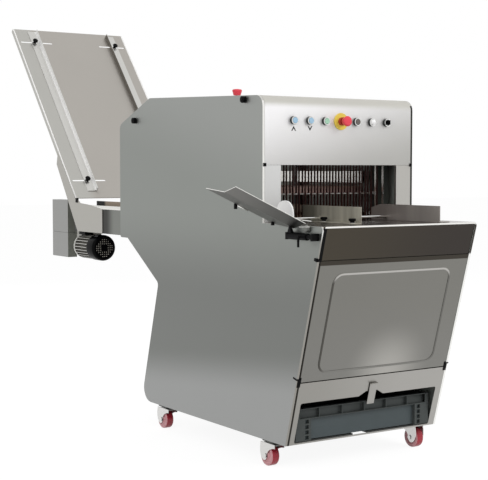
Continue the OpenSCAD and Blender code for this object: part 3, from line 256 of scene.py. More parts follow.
FINISHES = {
    # Painted light: the side panels and the rear cover are lighter towards the top and towards the bottom
    # than in the middle.
    "side": steel("side_panel_painted_light", tone(124, 126, 123), 0.42, painted_shading=[
        (Z, 0.56, 0.90, tone(144, 147, 143)), ((0, -0.25, 1), 0.86, 1.22, tone(156, 158, 155)),
        ((0, 0.10, 1), 0.41, 0.25, tone(156, 157, 156))]),
    # Painted shade and light on the panels' inner faces: the left panel's inside is a darker, browner tone as
    # shade, the right panel's inside a lighter tone as light.
    "inner": steel("inner_steel", tone(124, 106, 100), 0.50, metallic=0.5),
    "far_inner": steel("far_inner_steel", tone(176, 182, 176), 0.50, metallic=0.3),
    "hold": steel("hold_down_steel", tone(196, 168, 158), 0.45, metallic=0.5),
    # Painted highlight and shade on the panel rims: the rim is painted bright; the left front rim is painted
    # bright in its upper part and darker below; the right front rim is near white low down and painted dark
    # above; the right panel's front faces are painted dark.
    "rim": steel("panel_rim_painted_highlight", tone(206, 205, 200), 0.30),
    "rim_left": steel("left_rim_painted_highlight_and_shade", tone(152, 149, 143), 0.34, painted_shading=[
        (Z, 0.795, 0.845, tone(240, 239, 236))]),
    "rim_right": steel("right_rim_painted_highlight_and_shade", tone(240, 239, 236), 0.30, painted_shading=[
        (Z, 0.738, 0.746, tone(66, 62, 57))]),
    "dark_rim": steel("dark_rim_painted_shade", tone(58, 58, 56), 0.34),
    # Painted light: the hood is lighter towards its upper left, below a duller painted band along its top;
    # the window plate's jambs are lighter towards the left.
    "hood": steel("hood_painted_light", tone(182, 181, 177), 0.48, grain=0, metallic=0.6, painted_shading=[
        ((-0.35, 0, 1), 0.95, 1.42, tone(252, 251, 252)), (Z, 1.254, 1.280, tone(202, 200, 193))]),
    "jamb": steel("jamb_painted_light", tone(188, 186, 181), 0.44, grain=0, painted_shading=[
        (X, 0.1, -0.2, tone(220, 220, 219))]),
    "table": steel("table_steel", tone(128, 122, 117), 0.22, grain=1),
    # Painted highlight: a near-white tone for the table's front lip, the rails' lips, the left panel's front
    # faces and the scoop's edges; the spacers, the scoop pin and the springs take the same tone.
    "lip": steel("lip_painted_highlight_and_bright_steel", tone(240, 239, 235), 0.30, grain=0),
    # Painted shade: both table guides darken towards their rear ends.
    "guide": steel("guide_steel", tone(168, 164, 151), 0.42, cloud=0.75, metallic=0.4,
                   streak=(1, 6, 0.3), painted_shading=[(Y, -0.05, 0.05, tone(118, 115, 104))]),
    "far_guide": steel("far_guide_painted_shade", tone(158, 152, 147), 0.42, cloud=0.20, metallic=0.4,
                       streak=(1, 5, 1), painted_shading=[(Y, -0.22, 0.05, tone(140, 131, 126))]),
    # Painted reflection: the polished apron is given a dark tone for the dark it reflects, a little darker to
    # the right.
    "apron": steel("apron_painted_reflection", tone(73, 68, 60), 0.24, grain=0, painted_shading=[
        (X, -0.33, 0.33, tone(63, 59, 56))]),
    # Painted light and shade on the door: a little lighter towards the bottom, a painted shadow along its top
    # under the apron, a dark band along its left edge painted as the shadow of the gap, and a painted
    # reflection that lightens it round a place low in the middle.
    "door": steel("door_painted_light_and_shade", tone(127, 126, 121), 0.36, grain=0, painted_shading=[
        (Z, 0.66, 0.34, tone(131, 130, 126)), (SLANT, 0.7832, 0.7838, tone(67, 63, 57)),
        (X, -0.3235, -0.3245, tone(50, 48, 44))], glow=[((0.05, -0.205, 0.33), 0.20, tone(172, 170, 165))]),
    # Painted light and shade on the bead: darker towards both ends, most at the left, and painted bright
    # along its top as a highlight.
    "bead": steel("bead_painted_light_and_shade", tone(128, 127, 123), 0.36, grain=0, painted_shading=[
        (X, -0.225, -0.253, tone(86, 84, 80)), (X, 0.235, 0.255, tone(112, 111, 107)),
        (SLANT, 0.716, 0.745, tone(184, 182, 178))]),
    # Painted light and shade: lighter towards the right, and a dark band along the left edge painted as the
    # shadow of the gap. The crate handle takes the same finish.
    "lower": steel("lower_panel_painted_light_and_shade", tone(156, 154, 149), 0.36, grain=0, painted_shading=[
        (X, -0.30, 0.20, tone(169, 167, 163)), (X, -0.3235, -0.3245, tone(50, 48, 44))]),
    # Painted light: the chute plate is lighter along its left strip.
    "chute": steel("chute_painted_light", tone(177, 173, 167), 0.40, grain=0, painted_shading=[
        (X, -0.19, -0.24, tone(184, 183, 178))]),
    # The foot tone is also laid on the table guides' top faces as a painted highlight.
    "foot": steel("guide_foot_steel", tone(204, 203, 199), 0.34, grain=0),
    # Painted highlights: the fold strip is pure white, and the white tone below is laid on the left chute
    # guide's uprights, the chute's edge strips and the hold-down's front and top. Painted shade: the right
    # chute guide's left faces take the darker tone after it.
    "flash": steel("fold_painted_highlight", tone(255, 255, 255), 0.22, grain=0),
    "upright": steel("guide_upright_steel", tone(253, 252, 250), 0.40, grain=1, metallic=0.0),
    "shaded": steel("guide_painted_shade", tone(136, 132, 126), 0.34),
    "bracket": steel("bracket_steel", tone(175, 173, 167), 0.40),
    # Painted shadow: the rails darken towards the rear where the bracket's shadow falls. Painted shade: the
    # guard bars darken to near black further back.
    "rail": steel("rail_painted_shadow", tone(126, 128, 123), 0.40, grain=1, painted_shading=[
        (Y, 1.190, 1.270, tone(56, 56, 53))]),
    "guard": steel("guard_painted_shade", tone(168, 152, 134), 0.50, grain=1, metallic=0.3, painted_shading=[
        (Y, 1.400, 1.425, tone(28, 27, 26))]),
    "bright": steel("bright_steel", tone(226, 226, 224), 0.18, grain=1),
    # Painted shade: the blade frames' front faces take this darker tone, and their other faces the bright
    # steel.
    "shaded_frame_front": steel("blade_frame_painted_shade", tone(100, 103, 98), 0.45, metallic=0.5),
    "scoop": steel("scoop_steel", tone(127, 126, 123), 0.40, grain=0),
    "box": steel("drive_box_steel", tone(154, 154, 152), 0.42),
    # Painted shade: the drive box's front faces are a darker copy of its steel.
    "shaded_box_front": steel("drive_box_front_painted_shade", tone(112, 114, 107), 0.50, metallic=0.3),
    "zinc": steel("zinc_plate", tone(216, 215, 213), 0.36, cloud=0.10),
    "fork_shade": steel("zinc_plate_shaded", tone(104, 102, 100), 0.40, cloud=0.10),
    "blade": steel("blade_steel", tone(78, 47, 44), 0.38, metallic=0.6),
    "ring_side": steel("ring_side_steel", tone(66, 68, 68), 0.26, grain=1),
}
print("steel finishes:", len(FINISHES))

# %% [markdown]
# Moulded plastic, rubber and paint share one recipe: a colour with faint clouds and a fine orange-peel bump.
# The scale of that bump tells them apart: coarse for a crate, fine for a glossy cap.

# %% Plastic, rubber and paint
WORN_ROUGH, SKIN_ROUGH, SKIN_DEPTH = 0.12, 0.06, 0.0003


def moulded(name, colour, rough, peel=900, height=0.06, cloud=0.08, gloss=0.5):
    """Plastic, rubber or paint. The peel is the scale of its skin and the height the strength of the bump."""
    made = Finish(name, Specular_IOR_Level=gloss)
    skin = made.noise(peel, 2.0)
    worn = made.noise(14.0, 3.0)
    made.feed("Base Color", made.scaled(colour, worn * (2 * cloud) + (1 - cloud)))
    made.feed("Roughness", (worn - 0.5) * WORN_ROUGH + (skin - 0.5) * SKIN_ROUGH + rough)
    made.bump(skin, height, SKIN_DEPTH)
    return made.material


FINISHES.update({
    "black": moulded("black_plastic", tone(12, 12, 13), 0.42, gloss=0.06),
    "gloss": moulded("black_lacquer", tone(8, 8, 9), 0.22, gloss=0.05),
    "pip": moulded("grey_pip", tone(156, 152, 144), 0.40),
    # Painted shade: the gaps between the motor's fins are darker than the fins.
    "gap": moulded("fin_gap_painted_shade", tone(104, 102, 96), 0.60, gloss=0.1),
    "boss": moulded("cast_boss", tone(122, 123, 119), 0.55, gloss=0.2),
    "stem": moulded("red_stem", tone(170, 46, 48), 0.36),
    "crate": moulded("crate_plastic", tone(65, 69, 68), 0.50, peel=500, height=0.12, gloss=0.25),
    "crate_wall": moulded("crate_wall_plastic", tone(71, 79, 81), 0.50, peel=500, height=0.12, gloss=0.25),
    "white": moulded("white_plastic", tone(252, 251, 250), 0.40),
    "block": moulded("guide_block_plastic", tone(52, 54, 52), 0.45, gloss=0.25),
    "wheel": moulded("wheel_polyurethane", tone(160, 34, 50), 0.34),
    "wheel_side": moulded("wheel_core", tone(202, 146, 150), 0.40),
    "red": moulded("red_cap", tone(226, 64, 80), 0.30),
    "blue": moulded("blue_cap", tone(158, 192, 216), 0.30),
    "green": moulded("green_cap", tone(162, 203, 178), 0.30),
    "stop": moulded("stop_cap", tone(96, 90, 86), 0.30),
    "yellow": moulded("yellow_plate", tone(232, 206, 84), 0.40, cloud=0.14),
    "lamp": moulded("lamp_lens", tone(240, 240, 240), 0.24),
    "belt": moulded("belt_cloth", tone(150, 132, 112), 0.62, peel=1600, height=0.35, gloss=0.2),
    "rubber": moulded("belt_rubber", tone(34, 34, 34), 0.58, gloss=0.2),
    "paint": moulded("frame_paint", tone(78, 79, 77), 0.45, gloss=0.25),
    "iron": moulded("motor_paint", tone(92, 100, 104), 0.42, peel=260, height=0.18, gloss=0.3),
    "cast": moulded("cast_aluminium", tone(206, 205, 199), 0.40, peel=340, height=0.22),
})
print("finishes:", len(FINISHES))

# %% [markdown]
# ## Making and placing pieces
# A few short functions make all new shapes: a lathe spins a profile, a slab is a box, and a plate is an
# outline with a thickness. Each shape is moved by a matrix, such as the one of the leaning front or of the
# sloping chute, and then becomes a piece that rides on a body of the frame.

# %% Shape helpers
CREASE = math.radians(32)
MM = 0.001
MERGE = 1e-6
SLOT_OF = {part["node"]: part["material_slot"] for part in frame["record"]["subparts"]}
FRONT_TOP = (0, -0.352, 0.855)
CHUTE_FOOT, CHUTE_SLOPE = (0, 1.580, 0.910), math.radians(49.4)
FRONT = Matrix.Translation(FRONT_TOP) @ Matrix.Rotation(FRONT_LEAN, 4, "X")
CHUTE = Matrix.Translation(CHUTE_FOOT) @ Matrix.Rotation(CHUTE_SLOPE, 4, "X")
STAND = Matrix(((0, 0, 1, 0), (1, 0, 0, 0), (0, 1, 0, 0), (0, 0, 0, 1)))
FACE_FRONT = Matrix(((1, 0, 0, 0), (0, 0, 1, 0), (0, 1, 0, 0), (0, 0, 0, 1)))


def lathe(profile, steps=32):
    """Spins points of (radius, height), in millimetres, about Z."""
    work = bmesh.new()
    points = [work.verts.new((radius * MM, 0, height * MM)) for radius, height in profile]
    chain = [work.edges.new(pair) for pair in zip(points, points[1:])]
    bmesh.ops.spin(work, geom=points + chain, cent=(0, 0, 0), axis=(0, 0, 1), angle=2 * math.pi,
                   steps=steps, use_merge=True)
    bmesh.ops.remove_doubles(work, verts=work.verts, dist=MERGE)
    bmesh.ops.recalc_face_normals(work, faces=work.faces)
    return work


def slab(low, high):
    """A box between two corners in millimetres."""
    low, high = Vector(low) * MM, Vector(high) * MM
    work = bmesh.new()
    bmesh.ops.create_cube(work, size=1, matrix=Matrix.Translation((low + high) / 2)
                          @ Matrix.Diagonal((*(high - low), 1)))
    return work


def plate(outline, thick):
    """An outline in X and Y with a thickness along Z, in millimetres."""
    work = bmesh.new()
    face = work.faces.new([work.verts.new((x * MM, y * MM, 0)) for x, y in outline])
    raised = bmesh.ops.extrude_face_region(work, geom=[face])["geom"]
    top = [part for part in raised if isinstance(part, bmesh.types.BMVert)]
    bmesh.ops.translate(work, vec=(0, 0, thick * MM), verts=top)
    bmesh.ops.recalc_face_normals(work, faces=work.faces)
    return work


def moved(work, matrix):
    bmesh.ops.transform(work, matrix=matrix, verts=work.verts)
    return work


def standing(work, x, y=0.0):
    """A plate of depth and height, stood up across X at a place in millimetres."""
    return moved(work, Matrix.Translation((x * MM, y * MM, 0)) @ STAND)


def together(works):
    """Several shapes as one."""
    whole = bmesh.new()
    for work in works:
        part = bpy.data.meshes.new("part")
        work.to_mesh(part)
        work.free()
        whole.from_mesh(part)
        bpy.data.meshes.remove(part)
    return whole


def round_edges(item, width):
    """Rounds the sharp edges by a width in millimetres."""
    bevel = item.modifiers.new("edge_radius", "BEVEL")
    bevel.width = width * MM
    bevel.segments = 2
    bevel.limit_method = "ANGLE"
    bevel.angle_limit = CREASE
    bevel.harden_normals = True
    return item


def piece(name, work, body, finishes, slot, *stands_for):
    """Turns a bmesh into a finished piece that rides on a body."""
    data = bpy.data.meshes.new(name)
    work.to_mesh(data)
    work.free()
    data.shade_smooth()
    data.set_sharp_from_angle(angle=CREASE)
    for finish in finishes:
        data.materials.append(FINISHES[finish])
    item = bpy.data.objects.new(name, data)
    bpy.context.scene.collection.objects.link(item)
    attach(item, body)
    if stands_for:
        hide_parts(*stands_for)
    return item


def body_of(node):
    return cad_nodes[node]["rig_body"]


def added(name, work, node, finish, like, width=0.0):
    """A small piece that rides with a node. Its slot, looked up from a node of the same material, is not
    used.
    """
    item = piece(name, work, body_of(node), [finish], SLOT_OF[like])
    return round_edges(item, width) if width else item


print("shape helpers ready")

# %% [markdown]
# ## Dressing the solids
# A CAD solid has knife edges, and real sheet has small radii that catch the light. The solid's mesh is
# loose triangles, so a copy is merged, its flat triangles are joined, and a Bevel modifier with hardened
# normals rounds the edges. Some faces take a finish of their own, such as a rim painted bright as a highlight
# or a face painted darker as shade, some make way for a new shape, and a few pieces are drawn slimmer by a
# function that moves their points.

# %% Dress helper
FLAT = math.radians(1.0)


def copy_of(node, leave_out=None):
    """A merged copy of a solid without the faces that a test leaves out."""
    work = bmesh.new()
    work.from_mesh(cad_nodes[node].data)
    bmesh.ops.remove_doubles(work, verts=work.verts, dist=MERGE)
    bmesh.ops.dissolve_limit(work, angle_limit=FLAT, verts=work.verts, edges=work.edges)
    if leave_out:
        gone = [face for face in work.faces if leave_out(face.calc_center_median(), face.normal)]
        bmesh.ops.delete(work, geom=gone, context="FACES")
    return work


def dress(node, width, finish, groups=(), leave_out=None, reshape=None):
    """A copy of a solid with rounded edges. A group is a finish and a test of a face's middle and normal."""
    work = copy_of(node, leave_out)
    for face in work.faces:
        middle = face.calc_center_median()
        for number, (_, test) in enumerate(groups):
            if test(middle, face.normal):
                face.material_index = number + 1
                break
    for vert in work.verts if reshape else ():
        vert.co = reshape(vert.co)
    finishes = [finish] + [name for name, _ in groups]
    item = piece(node + "_dressed", work, body_of(node), finishes, SLOT_OF[node], node)
    return round_edges(item, width)


PLAIN = {
    "side": [("rear_cover", 0.5)],
    "hood": [("hood_cover", 0.5)],
    "jamb": [("window_plate", 0.5)],
    "apron": [("apron", 0.5)],
    "lower": [("lower_front_panel", 0.5), ("crate_handle", 0.5)],
    "bracket": [("chute_brackets", 0.5)],
    "chute": [("chute_plate", 0.5)],
    "bright": [("guide_rod", 0.4)],
    "zinc": [("crankshaft", 0.5)],
    "black": [("door_hinges", 0.4), ("side_knobs", 1.0), ("clamp_lever", 1.0)],
    "stop": [("stop_button", 0.8)],
    "white": [("loaf_stop", 1.2)],
    "block": [("blade_guides", 1.0)],
    "red": [("emergency_stop", 1.5), ("top_stop_button", 0.6)],
    "blue": [("up_button", 0.8), ("down_button", 0.8)],
    "green": [("start_button", 0.8)],
    "yellow": [("stop_ring", 1.0)],
    "lamp": [("lamp_button", 0.8)],
    "belt": [("conveyor_belt", 0.4)],
    "rubber": [("drive_belt", 0.6), ("drive_roller", 0.8), ("nose_roller", 0.8)],
    "paint": [("base_frame", 1.2), ("upright_frames", 1.2)],
    "iron": [("main_motor", 1.5), ("motor_pulley", 0.8), ("shaft_bearings", 1.0)],
}
for finish, jobs in PLAIN.items():
    for node, width in jobs:
        dress(node, width, finish)
print("plain solids dressed:", sum(len(jobs) for jobs in PLAIN.values()))

# %% [markdown]
# ## Sheet with painted highlights and shade
# A side panel is a tray: its flat face is dull and the folded rim is painted bright as a highlight. The same
# painted highlight goes on the table's front lip and the sloping lips of the conveyor rails. Painted shade
# darkens the right panel's front faces and the left panel's inside, and painted light lightens the right
# panel's inside. These faces are found by the way they point, and the rails darken towards the rear as a
# painted shadow.

# %% Trays, table and rails
GUARD_X, GUARD_HALF, GUARD_FOOT, GUARD_TOP = 0.236, 0.006, 0.86, 0.98
PANEL_X, TABLE_EDGE = 0.3, -0.34

for side in ("left", "right"):
    # The rim faces take painted highlights, the right panel's front faces painted shade, the left panel's
    # front faces the near-white painted highlight, and the inner faces painted shade on the left and painted
    # light on the right.
    dress(side + "_side_panel", 0.9, "side", [
        ("rim_" + side, lambda middle, way: way.y < -0.8 and way.z < -0.1),
        ("dark_rim", lambda middle, way: way.y < -0.9 and middle.x > PANEL_X),
        ("lip", lambda middle, way: way.y < -0.9 and middle.x < -PANEL_X),
        ("rim", lambda middle, way: abs(way.x) < 0.6),
        ("far_inner", lambda middle, way: way.x < 0 and middle.x > 0),
        ("inner", lambda middle, way: way.x * middle.x < 0)])
# The table's front lip takes the near-white painted highlight.
dress("outfeed_table", 0.6, "table", [("lip", lambda middle, way: way.y < -0.5 and middle.y < TABLE_EDGE)])
# The rails' lips take the near-white painted highlight, the guard bars painted shade towards the rear, and
# the rails a painted shadow towards the rear.
dress("conveyor_frame", 0.5, "rail", [
    ("lip", lambda middle, way: abs(way.x) > 0.5 and abs(way.z) > 0.5),
    ("guard", lambda middle, way: abs(abs(middle.x) - GUARD_X) < GUARD_HALF and middle.z > GUARD_FOOT),
    ("lip", lambda middle, way: middle.z > GUARD_TOP)])
print("trays, table and rails dressed")

# %% [markdown]
# ## Door, crate, motor and controls
# The door's pressed bead is found in the frame of the leaning front, and the gaps between the motor's fins by
# their distance from its axis. The bead is painted with light and shade, and the fin gaps and the drive box's
# front faces are painted darker as shade. The knob of the selector is drawn in a little about its own middle.

# %% Door, crate, motor and controls
BEAD_LIFT, BEAD_HALF, BEAD_LOW, BEAD_HIGH = 0.0004, 0.262, -0.60, -0.12
CRATE_MOUTH_Y, CRATE_RIM_Z = -0.140, 0.185
MOTOR_X, MOTOR_Z = -258, 690
FIN_ROOT, FIN_END = 0.0535, 1.587
SELECTOR_X, SELECTOR_Z = 0.210, 1.215
SELECTOR_WIDE_SHARE, SELECTOR_HIGH_SHARE = 0.72, 0.78
CONTROLS_TOP, STOP_HALF = 1.27, 0.03


def is_bead(middle, way):
    """The pressed bead stands in front of the door's plane."""
    spot = FRONT.inverted() @ middle
    return spot.y < -BEAD_LIFT and abs(spot.x) < BEAD_HALF and BEAD_LOW < spot.z < BEAD_HIGH


def is_crate_wall(middle, way):
    return way.y < -0.5 and middle.y > CRATE_MOUTH_Y and middle.z < CRATE_RIM_Z


def is_fin_gap(middle, way):
    return math.hypot(middle.x - MOTOR_X * MM, middle.z - MOTOR_Z * MM) < FIN_ROOT and middle.y < FIN_END


def slim_selector(spot):
    x = SELECTOR_X + (spot.x - SELECTOR_X) * SELECTOR_WIDE_SHARE
    z = SELECTOR_Z + (spot.z - SELECTOR_Z) * SELECTOR_HIGH_SHARE
    return Vector((x, spot.y, z))


# The door and its bead take painted light, shade and a painted reflection.
dress("front_door", 0.6, "door", [("bead", is_bead)])
# The drive box's front faces take a darker tone as painted shade.
dress("drive_box", 1.2, "box", [("shaded_box_front", lambda middle, way: way.y < -0.5)])
dress("crumb_crate", 0.8, "crate", [("crate_wall", is_crate_wall)])
# The gaps between the fins take a darker tone as painted shade.
dress("gearmotor", 0.5, "cast", [("gap", is_fin_gap)])
dress("selector_knob", 0.8, "black", reshape=slim_selector)
dress("control_bezels", 0.8, "bright", [
    ("stem", lambda middle, way: abs(middle.x) < STOP_HALF and middle.z < CONTROLS_TOP),
    ("ring_side", lambda middle, way: abs(way.y) < 0.7 and middle.z < CONTROLS_TOP)])
print("door, crate, motor and controls dressed")

# %% [markdown]
# ## Castors
# The fork of a swivel castor is pressed from one sheet, and its cheeks are broad. The solid's cheeks are
# narrow straps, so a broad cheek with a hollow front edge is laid on each of them.

# %% Castors
CHEEK = [(-30, 83), (58, 83), (61, 66), (61, 48), (57, 34), (49, 24), (38, 19), (28, 21), (22, 28),
         (20, 38), (17, 47), (11, 55), (2, 61.5), (-9, 66), (-20, 69), (-30, 70)]
CHEEK_THICK, CHEEK_LEFT, CHEEK_RIGHT = 3.2, -20.8, 17.6
SWIVELS = {"fl": (-308, -30, 1), "fr": (308, -30, -1), "rl": (-308, 716, 1), "rr": (308, 716, 1)}

for place, (x, y, trail) in SWIVELS.items():
    fork = "castor_fork_" + place
    dress("castor_wheel_" + place, 0.6, "wheel", [("wheel_side", lambda middle, way: abs(way.x) > 0.6)])
    dress(fork, 0.6, "zinc", [("fork_shade", lambda middle, way: way.y < -0.5 or way.z < -0.5)])
    outline = [(y + trail * along, height) for along, height in CHEEK]
    cheeks = [standing(plate(outline, CHEEK_THICK), x + aside) for aside in (CHEEK_LEFT, CHEEK_RIGHT)]
    added("castor_cheeks_" + place, together(cheeks), fork, "zinc", fork, 0.6)
print("castors: 4")

# %% [markdown]
# ## Guides and their knobs
# Each guide is clamped by a hand knob through a slot. The solid has a plain cylinder there. It makes way for
# a washer and a knob that widens to a scalloped grip. The left table guide gets a tail that reaches on
# towards the blades.

# %% Table and chute guides
KNOB = [(0, 0), (7.2, 0), (7.4, 4.5), (12.4, 8.6), (13, 10.5), (12.8, 13.6), (11.4, 15.4), (7, 16), (0, 16)]
WASHER = [(0, 0), (13.2, 0), (13.2, 0.9), (12.8, 1.1), (0, 1.1)]
LOBES, LOBE_DIP, GRIP_START = 7, 0.05, 0.010
SEAT_REACH, SEAT_SKIN = 0.0132, 1e-4


def hand_knob():
    work = lathe(KNOB, 56)
    for vert in work.verts:
        reach = math.hypot(vert.co.x, vert.co.y)
        if reach > GRIP_START:
            dip = LOBE_DIP * (0.5 - 0.5 * math.cos(LOBES * math.atan2(vert.co.y, vert.co.x)))
            vert.co.x *= 1 - dip
            vert.co.y *= 1 - dip
    return work


def guide(node, frame_matrix, seats, finish, groups):
    """A guide without its plain knobs, and a washer and a knob on every seat."""
    back = frame_matrix.inverted()

    def is_knob(middle, way):
        spot = back @ middle
        return spot.z > seats[0][2] * MM + SEAT_SKIN and any(
            math.hypot(spot.x - x * MM, spot.y - y * MM) < SEAT_REACH for x, y, _ in seats)

    dress(node, 0.5, finish, groups, is_knob)
    places = [frame_matrix @ Matrix.Translation(Vector(seat) * MM) for seat in seats]
    knobs = together([moved(hand_knob(), place) for place in places])
    added(node + "_knobs", knobs, node, "black", "side_knobs")
    washers = together([moved(lathe(WASHER), place) for place in places])
    added(node + "_washers", washers, node, "bright", "guide_rod")


STAY = Matrix.Identity(4)
# The table guides' top faces take the lighter foot tone as a painted highlight.
TOP_HIGHLIGHT_LOW = 0.9
TOP_HIGHLIGHT = [("foot", lambda middle, way: way.z > 0.9 and middle.z > TOP_HIGHLIGHT_LOW)]
TABLE_SEAT, TABLE_KNOBS = 858.3, (-235, -75)
CHUTE_SEAT, CHUTE_KNOBS = 3.3, (105, 1010)
TAIL_LOW, TAIL_HIGH = (-105.6, 5, 858.4), (-102.4, 86, 912.8)

for node, x, finish in (("left_table_guide", -130, "guide"), ("right_table_guide", 222, "far_guide")):
    guide(node, STAY, [(x, y, TABLE_SEAT) for y in TABLE_KNOBS], finish, TOP_HIGHLIGHT)
# The left chute guide's uprights take the white painted highlight, and the right guide's left faces painted
# shade.
guide("left_chute_guide", CHUTE, [(-214, y, CHUTE_SEAT) for y in CHUTE_KNOBS], "foot",
      [("upright", lambda middle, way: abs(way.x) > 0.7)])
guide("right_chute_guide", CHUTE, [(234, y, CHUTE_SEAT) for y in CHUTE_KNOBS], "foot",
      [("shaded", lambda middle, way: way.x < -0.7)])
tail = slab(TAIL_LOW, TAIL_HIGH)
added("left_guide_tail", tail, "left_table_guide", "guide", "left_table_guide", 0.4)
print("guides: 4, knobs: 8")

# %% [markdown]
# ## Slicing blades
# A slicer's blade is a thin strip of hard steel with a scalloped edge on the side where the loaf arrives. One
# outline is drawn with its scallops and repeated across the frame at the blade pitch.

# %% Blades
BLADE_LOW, BLADE_HIGH, BLADE_WIDE, BLADE_THICK = 630.0, 1200.0, 11.0, 1.0
BLADE_PITCH = 28
ROW_HALF, ROW_LOW, ROW_HIGH, ROW_DEEP = 0.27, 0.6305, 1.1995, 0.0058
BLADE_ROWS = (("front_blade_frame", 98, 101, 19), ("rear_blade_frame", 141, 138, 18))
SCALLOP, SCALLOP_DEEP, SCALLOP_STEPS = 15.0, 1.4, 4


def blade_strip():
    """A blade in its own frame: X along the width, Y along the length."""
    half = BLADE_WIDE / 2
    outline = [(-half, BLADE_HIGH), (-half, BLADE_LOW)]
    count = round((BLADE_HIGH - BLADE_LOW) / SCALLOP * SCALLOP_STEPS)
    for step in range(count + 1):
        wave = abs(math.cos(math.pi * step / SCALLOP_STEPS))
        outline.append((half - SCALLOP_DEEP * wave, BLADE_LOW + (BLADE_HIGH - BLADE_LOW) * step / count))
    return plate(outline, BLADE_THICK)


def is_plain_strip(middle, plane):
    """The solid's own blades, between the beams of their frame."""
    near = abs(middle.y - plane * MM) < ROW_DEEP
    return near and abs(middle.x) < ROW_HALF and ROW_LOW < middle.z < ROW_HIGH


# The frames' front faces take a darker tone as painted shade.
for node, plane, depth, count in BLADE_ROWS:
    dress(node, 0.4, "bright", [("shaded_frame_front", lambda middle, way: way.y < -0.7)],
          lambda middle, way: is_plain_strip(middle, plane))
    places = [(number - (count - 1) / 2) * BLADE_PITCH - BLADE_THICK / 2 for number in range(count)]
    strips = [standing(blade_strip(), x, depth) for x in places]
    added(node + "_blades", together(strips), node, "blade", node)
print("blades:", sum(count for *_, count in BLADE_ROWS))

# %% [markdown]
# ## Hold-down
# The hold-down carries a round rod between the two rows of blades. The rod makes way for a row of spacers,
# spun as one long profile that steps in and out along the rod.

# %% Hold-down and spacers
COMB_Y, COMB_Z, COMB_HALF = 0.1195, 0.951, 0.258
COMB_REACH, COMB_FREE = 0.0032, 0.20
HIGHLIGHT_FRONT, HIGHLIGHT_TOP = 0.135, 0.985
SPACER_PITCH, SPACER, SPACER_THIN = 9.3, 3.0, 1.2
NECK_END, COLLAR_START, COLLAR_END = 5.2, 5.4, 9.1
SPACERS = int(2 * COMB_HALF / MM / SPACER_PITCH)
ALONG_X = Matrix.Rotation(math.radians(90), 4, "Y")


def is_comb(middle, way):
    near = math.hypot(middle.y - COMB_Y, middle.z - COMB_Z) < COMB_REACH
    return near and abs(way.x) < 0.5 and abs(middle.x) < COMB_FREE


# The hold-down's front and top faces take the white tone as a painted highlight.
dress("hold_down", 0.5, "hold", [
    ("upright", lambda middle, way: middle.y < HIGHLIGHT_FRONT or middle.z > HIGHLIGHT_TOP)], is_comb)
comb = [(0, -COMB_HALF / MM)]
for number in range(SPACERS):
    start = number * SPACER_PITCH - COMB_HALF / MM
    comb += [(SPACER_THIN, start), (SPACER_THIN, start + NECK_END)]
    comb += [(SPACER, start + COLLAR_START), (SPACER, start + COLLAR_END)]
comb.append((0, comb[-1][1]))
spacers = moved(lathe(comb, 12), Matrix.Translation((0, COMB_Y, COMB_Z)) @ ALONG_X)
added("blade_spacers", spacers, "hold_down", "lip", "hold_down")
print("spacers:", SPACERS)

# %% [markdown]
# ## Motor fan cover
# The cover is a deep-drawn cup with a rounded front. Its vent is a grid of small openings round a closed
# middle, so the cup is spun and the grid is laid on its face. The terminal box keeps the shape of its solid.

# %% Fan cover
TO_FRONT = Matrix.Rotation(math.radians(90), 4, "X")
CUP = [(0, 66), (46, 66), (50.6, 65.1), (54.5, 62.5), (57.1, 58.6), (58, 54), (58, 6), (58, 0),
       (55.5, 0), (55.5, 6)]
COVER_REAR = 1450
BOX_FLOOR, BOX_FRONT = 0.744, 1.49
PIP_PITCH, PIP, PIP_FRONT, PIP_BACK = 9.4, 1.9, 1383.6, 1384.4
VENT_ROWS, VENT_REACH, VENT_CLOSED = range(-4, 5), 4.2, 1

on_motor = Matrix.Translation((MOTOR_X * MM, COVER_REAR * MM, MOTOR_Z * MM)) @ TO_FRONT
cup = moved(lathe(CUP, 64), on_motor)
cover = piece("fan_cover_cup", cup, body_of("fan_cover"), ["gloss"], SLOT_OF["fan_cover"], "fan_cover")
round_edges(cover, 0.5)
box = copy_of("fan_cover", lambda middle, way: middle.z < BOX_FLOOR or middle.y < BOX_FRONT)
added("terminal_box", box, "fan_cover", "black", "fan_cover", 0.8)
pips = []
for column in VENT_ROWS:
    for row in VENT_ROWS:
        if math.hypot(column, row) < VENT_REACH and max(abs(column), abs(row)) > VENT_CLOSED:
            x, z = MOTOR_X + column * PIP_PITCH, MOTOR_Z + row * PIP_PITCH
            pips.append(slab((x - PIP, PIP_FRONT, z - PIP), (x + PIP, PIP_BACK, z + PIP)))
added("fan_cover_grid", together(pips), "fan_cover", "pip", "fan_cover")
print("fan cover: cup, terminal box and", len(pips), "vents")

# %% [markdown]
# ## Small fittings on the front
# The signs at the two lift buttons are printed strokes. A black rubber seal closes the gap left of the
# apron, a clip holds it at its foot, and two buffers sit at the ends of the hood's seam.

# %% Signs, seals and buffers
SIGN_HALF, SIGN_RISE, SIGN_LINE, SIGN_THICK = 10.5, 17, 4.2, 0.3
SIGN_NOTCH_SHARE = 1.9
SEAL_LOW, SEAL_HIGH = (-335, -1.4, -116), (-323, 3, -7)
CLIP_FACE = (-346, -3, -120), (-325, -0.4, -110)
CLIP_SIDE = (-346, -3, -120), (-340.4, 12, -110)
BUFFER_X, BUFFER_HALF, BUFFER_LOW, BUFFER_HIGH = 331, 5, (-4, 1051), (-0.2, 1063)
UP_SIGN, DOWN_SIGN = (-208, 1184.5, 1), (-137, 1186, -1)


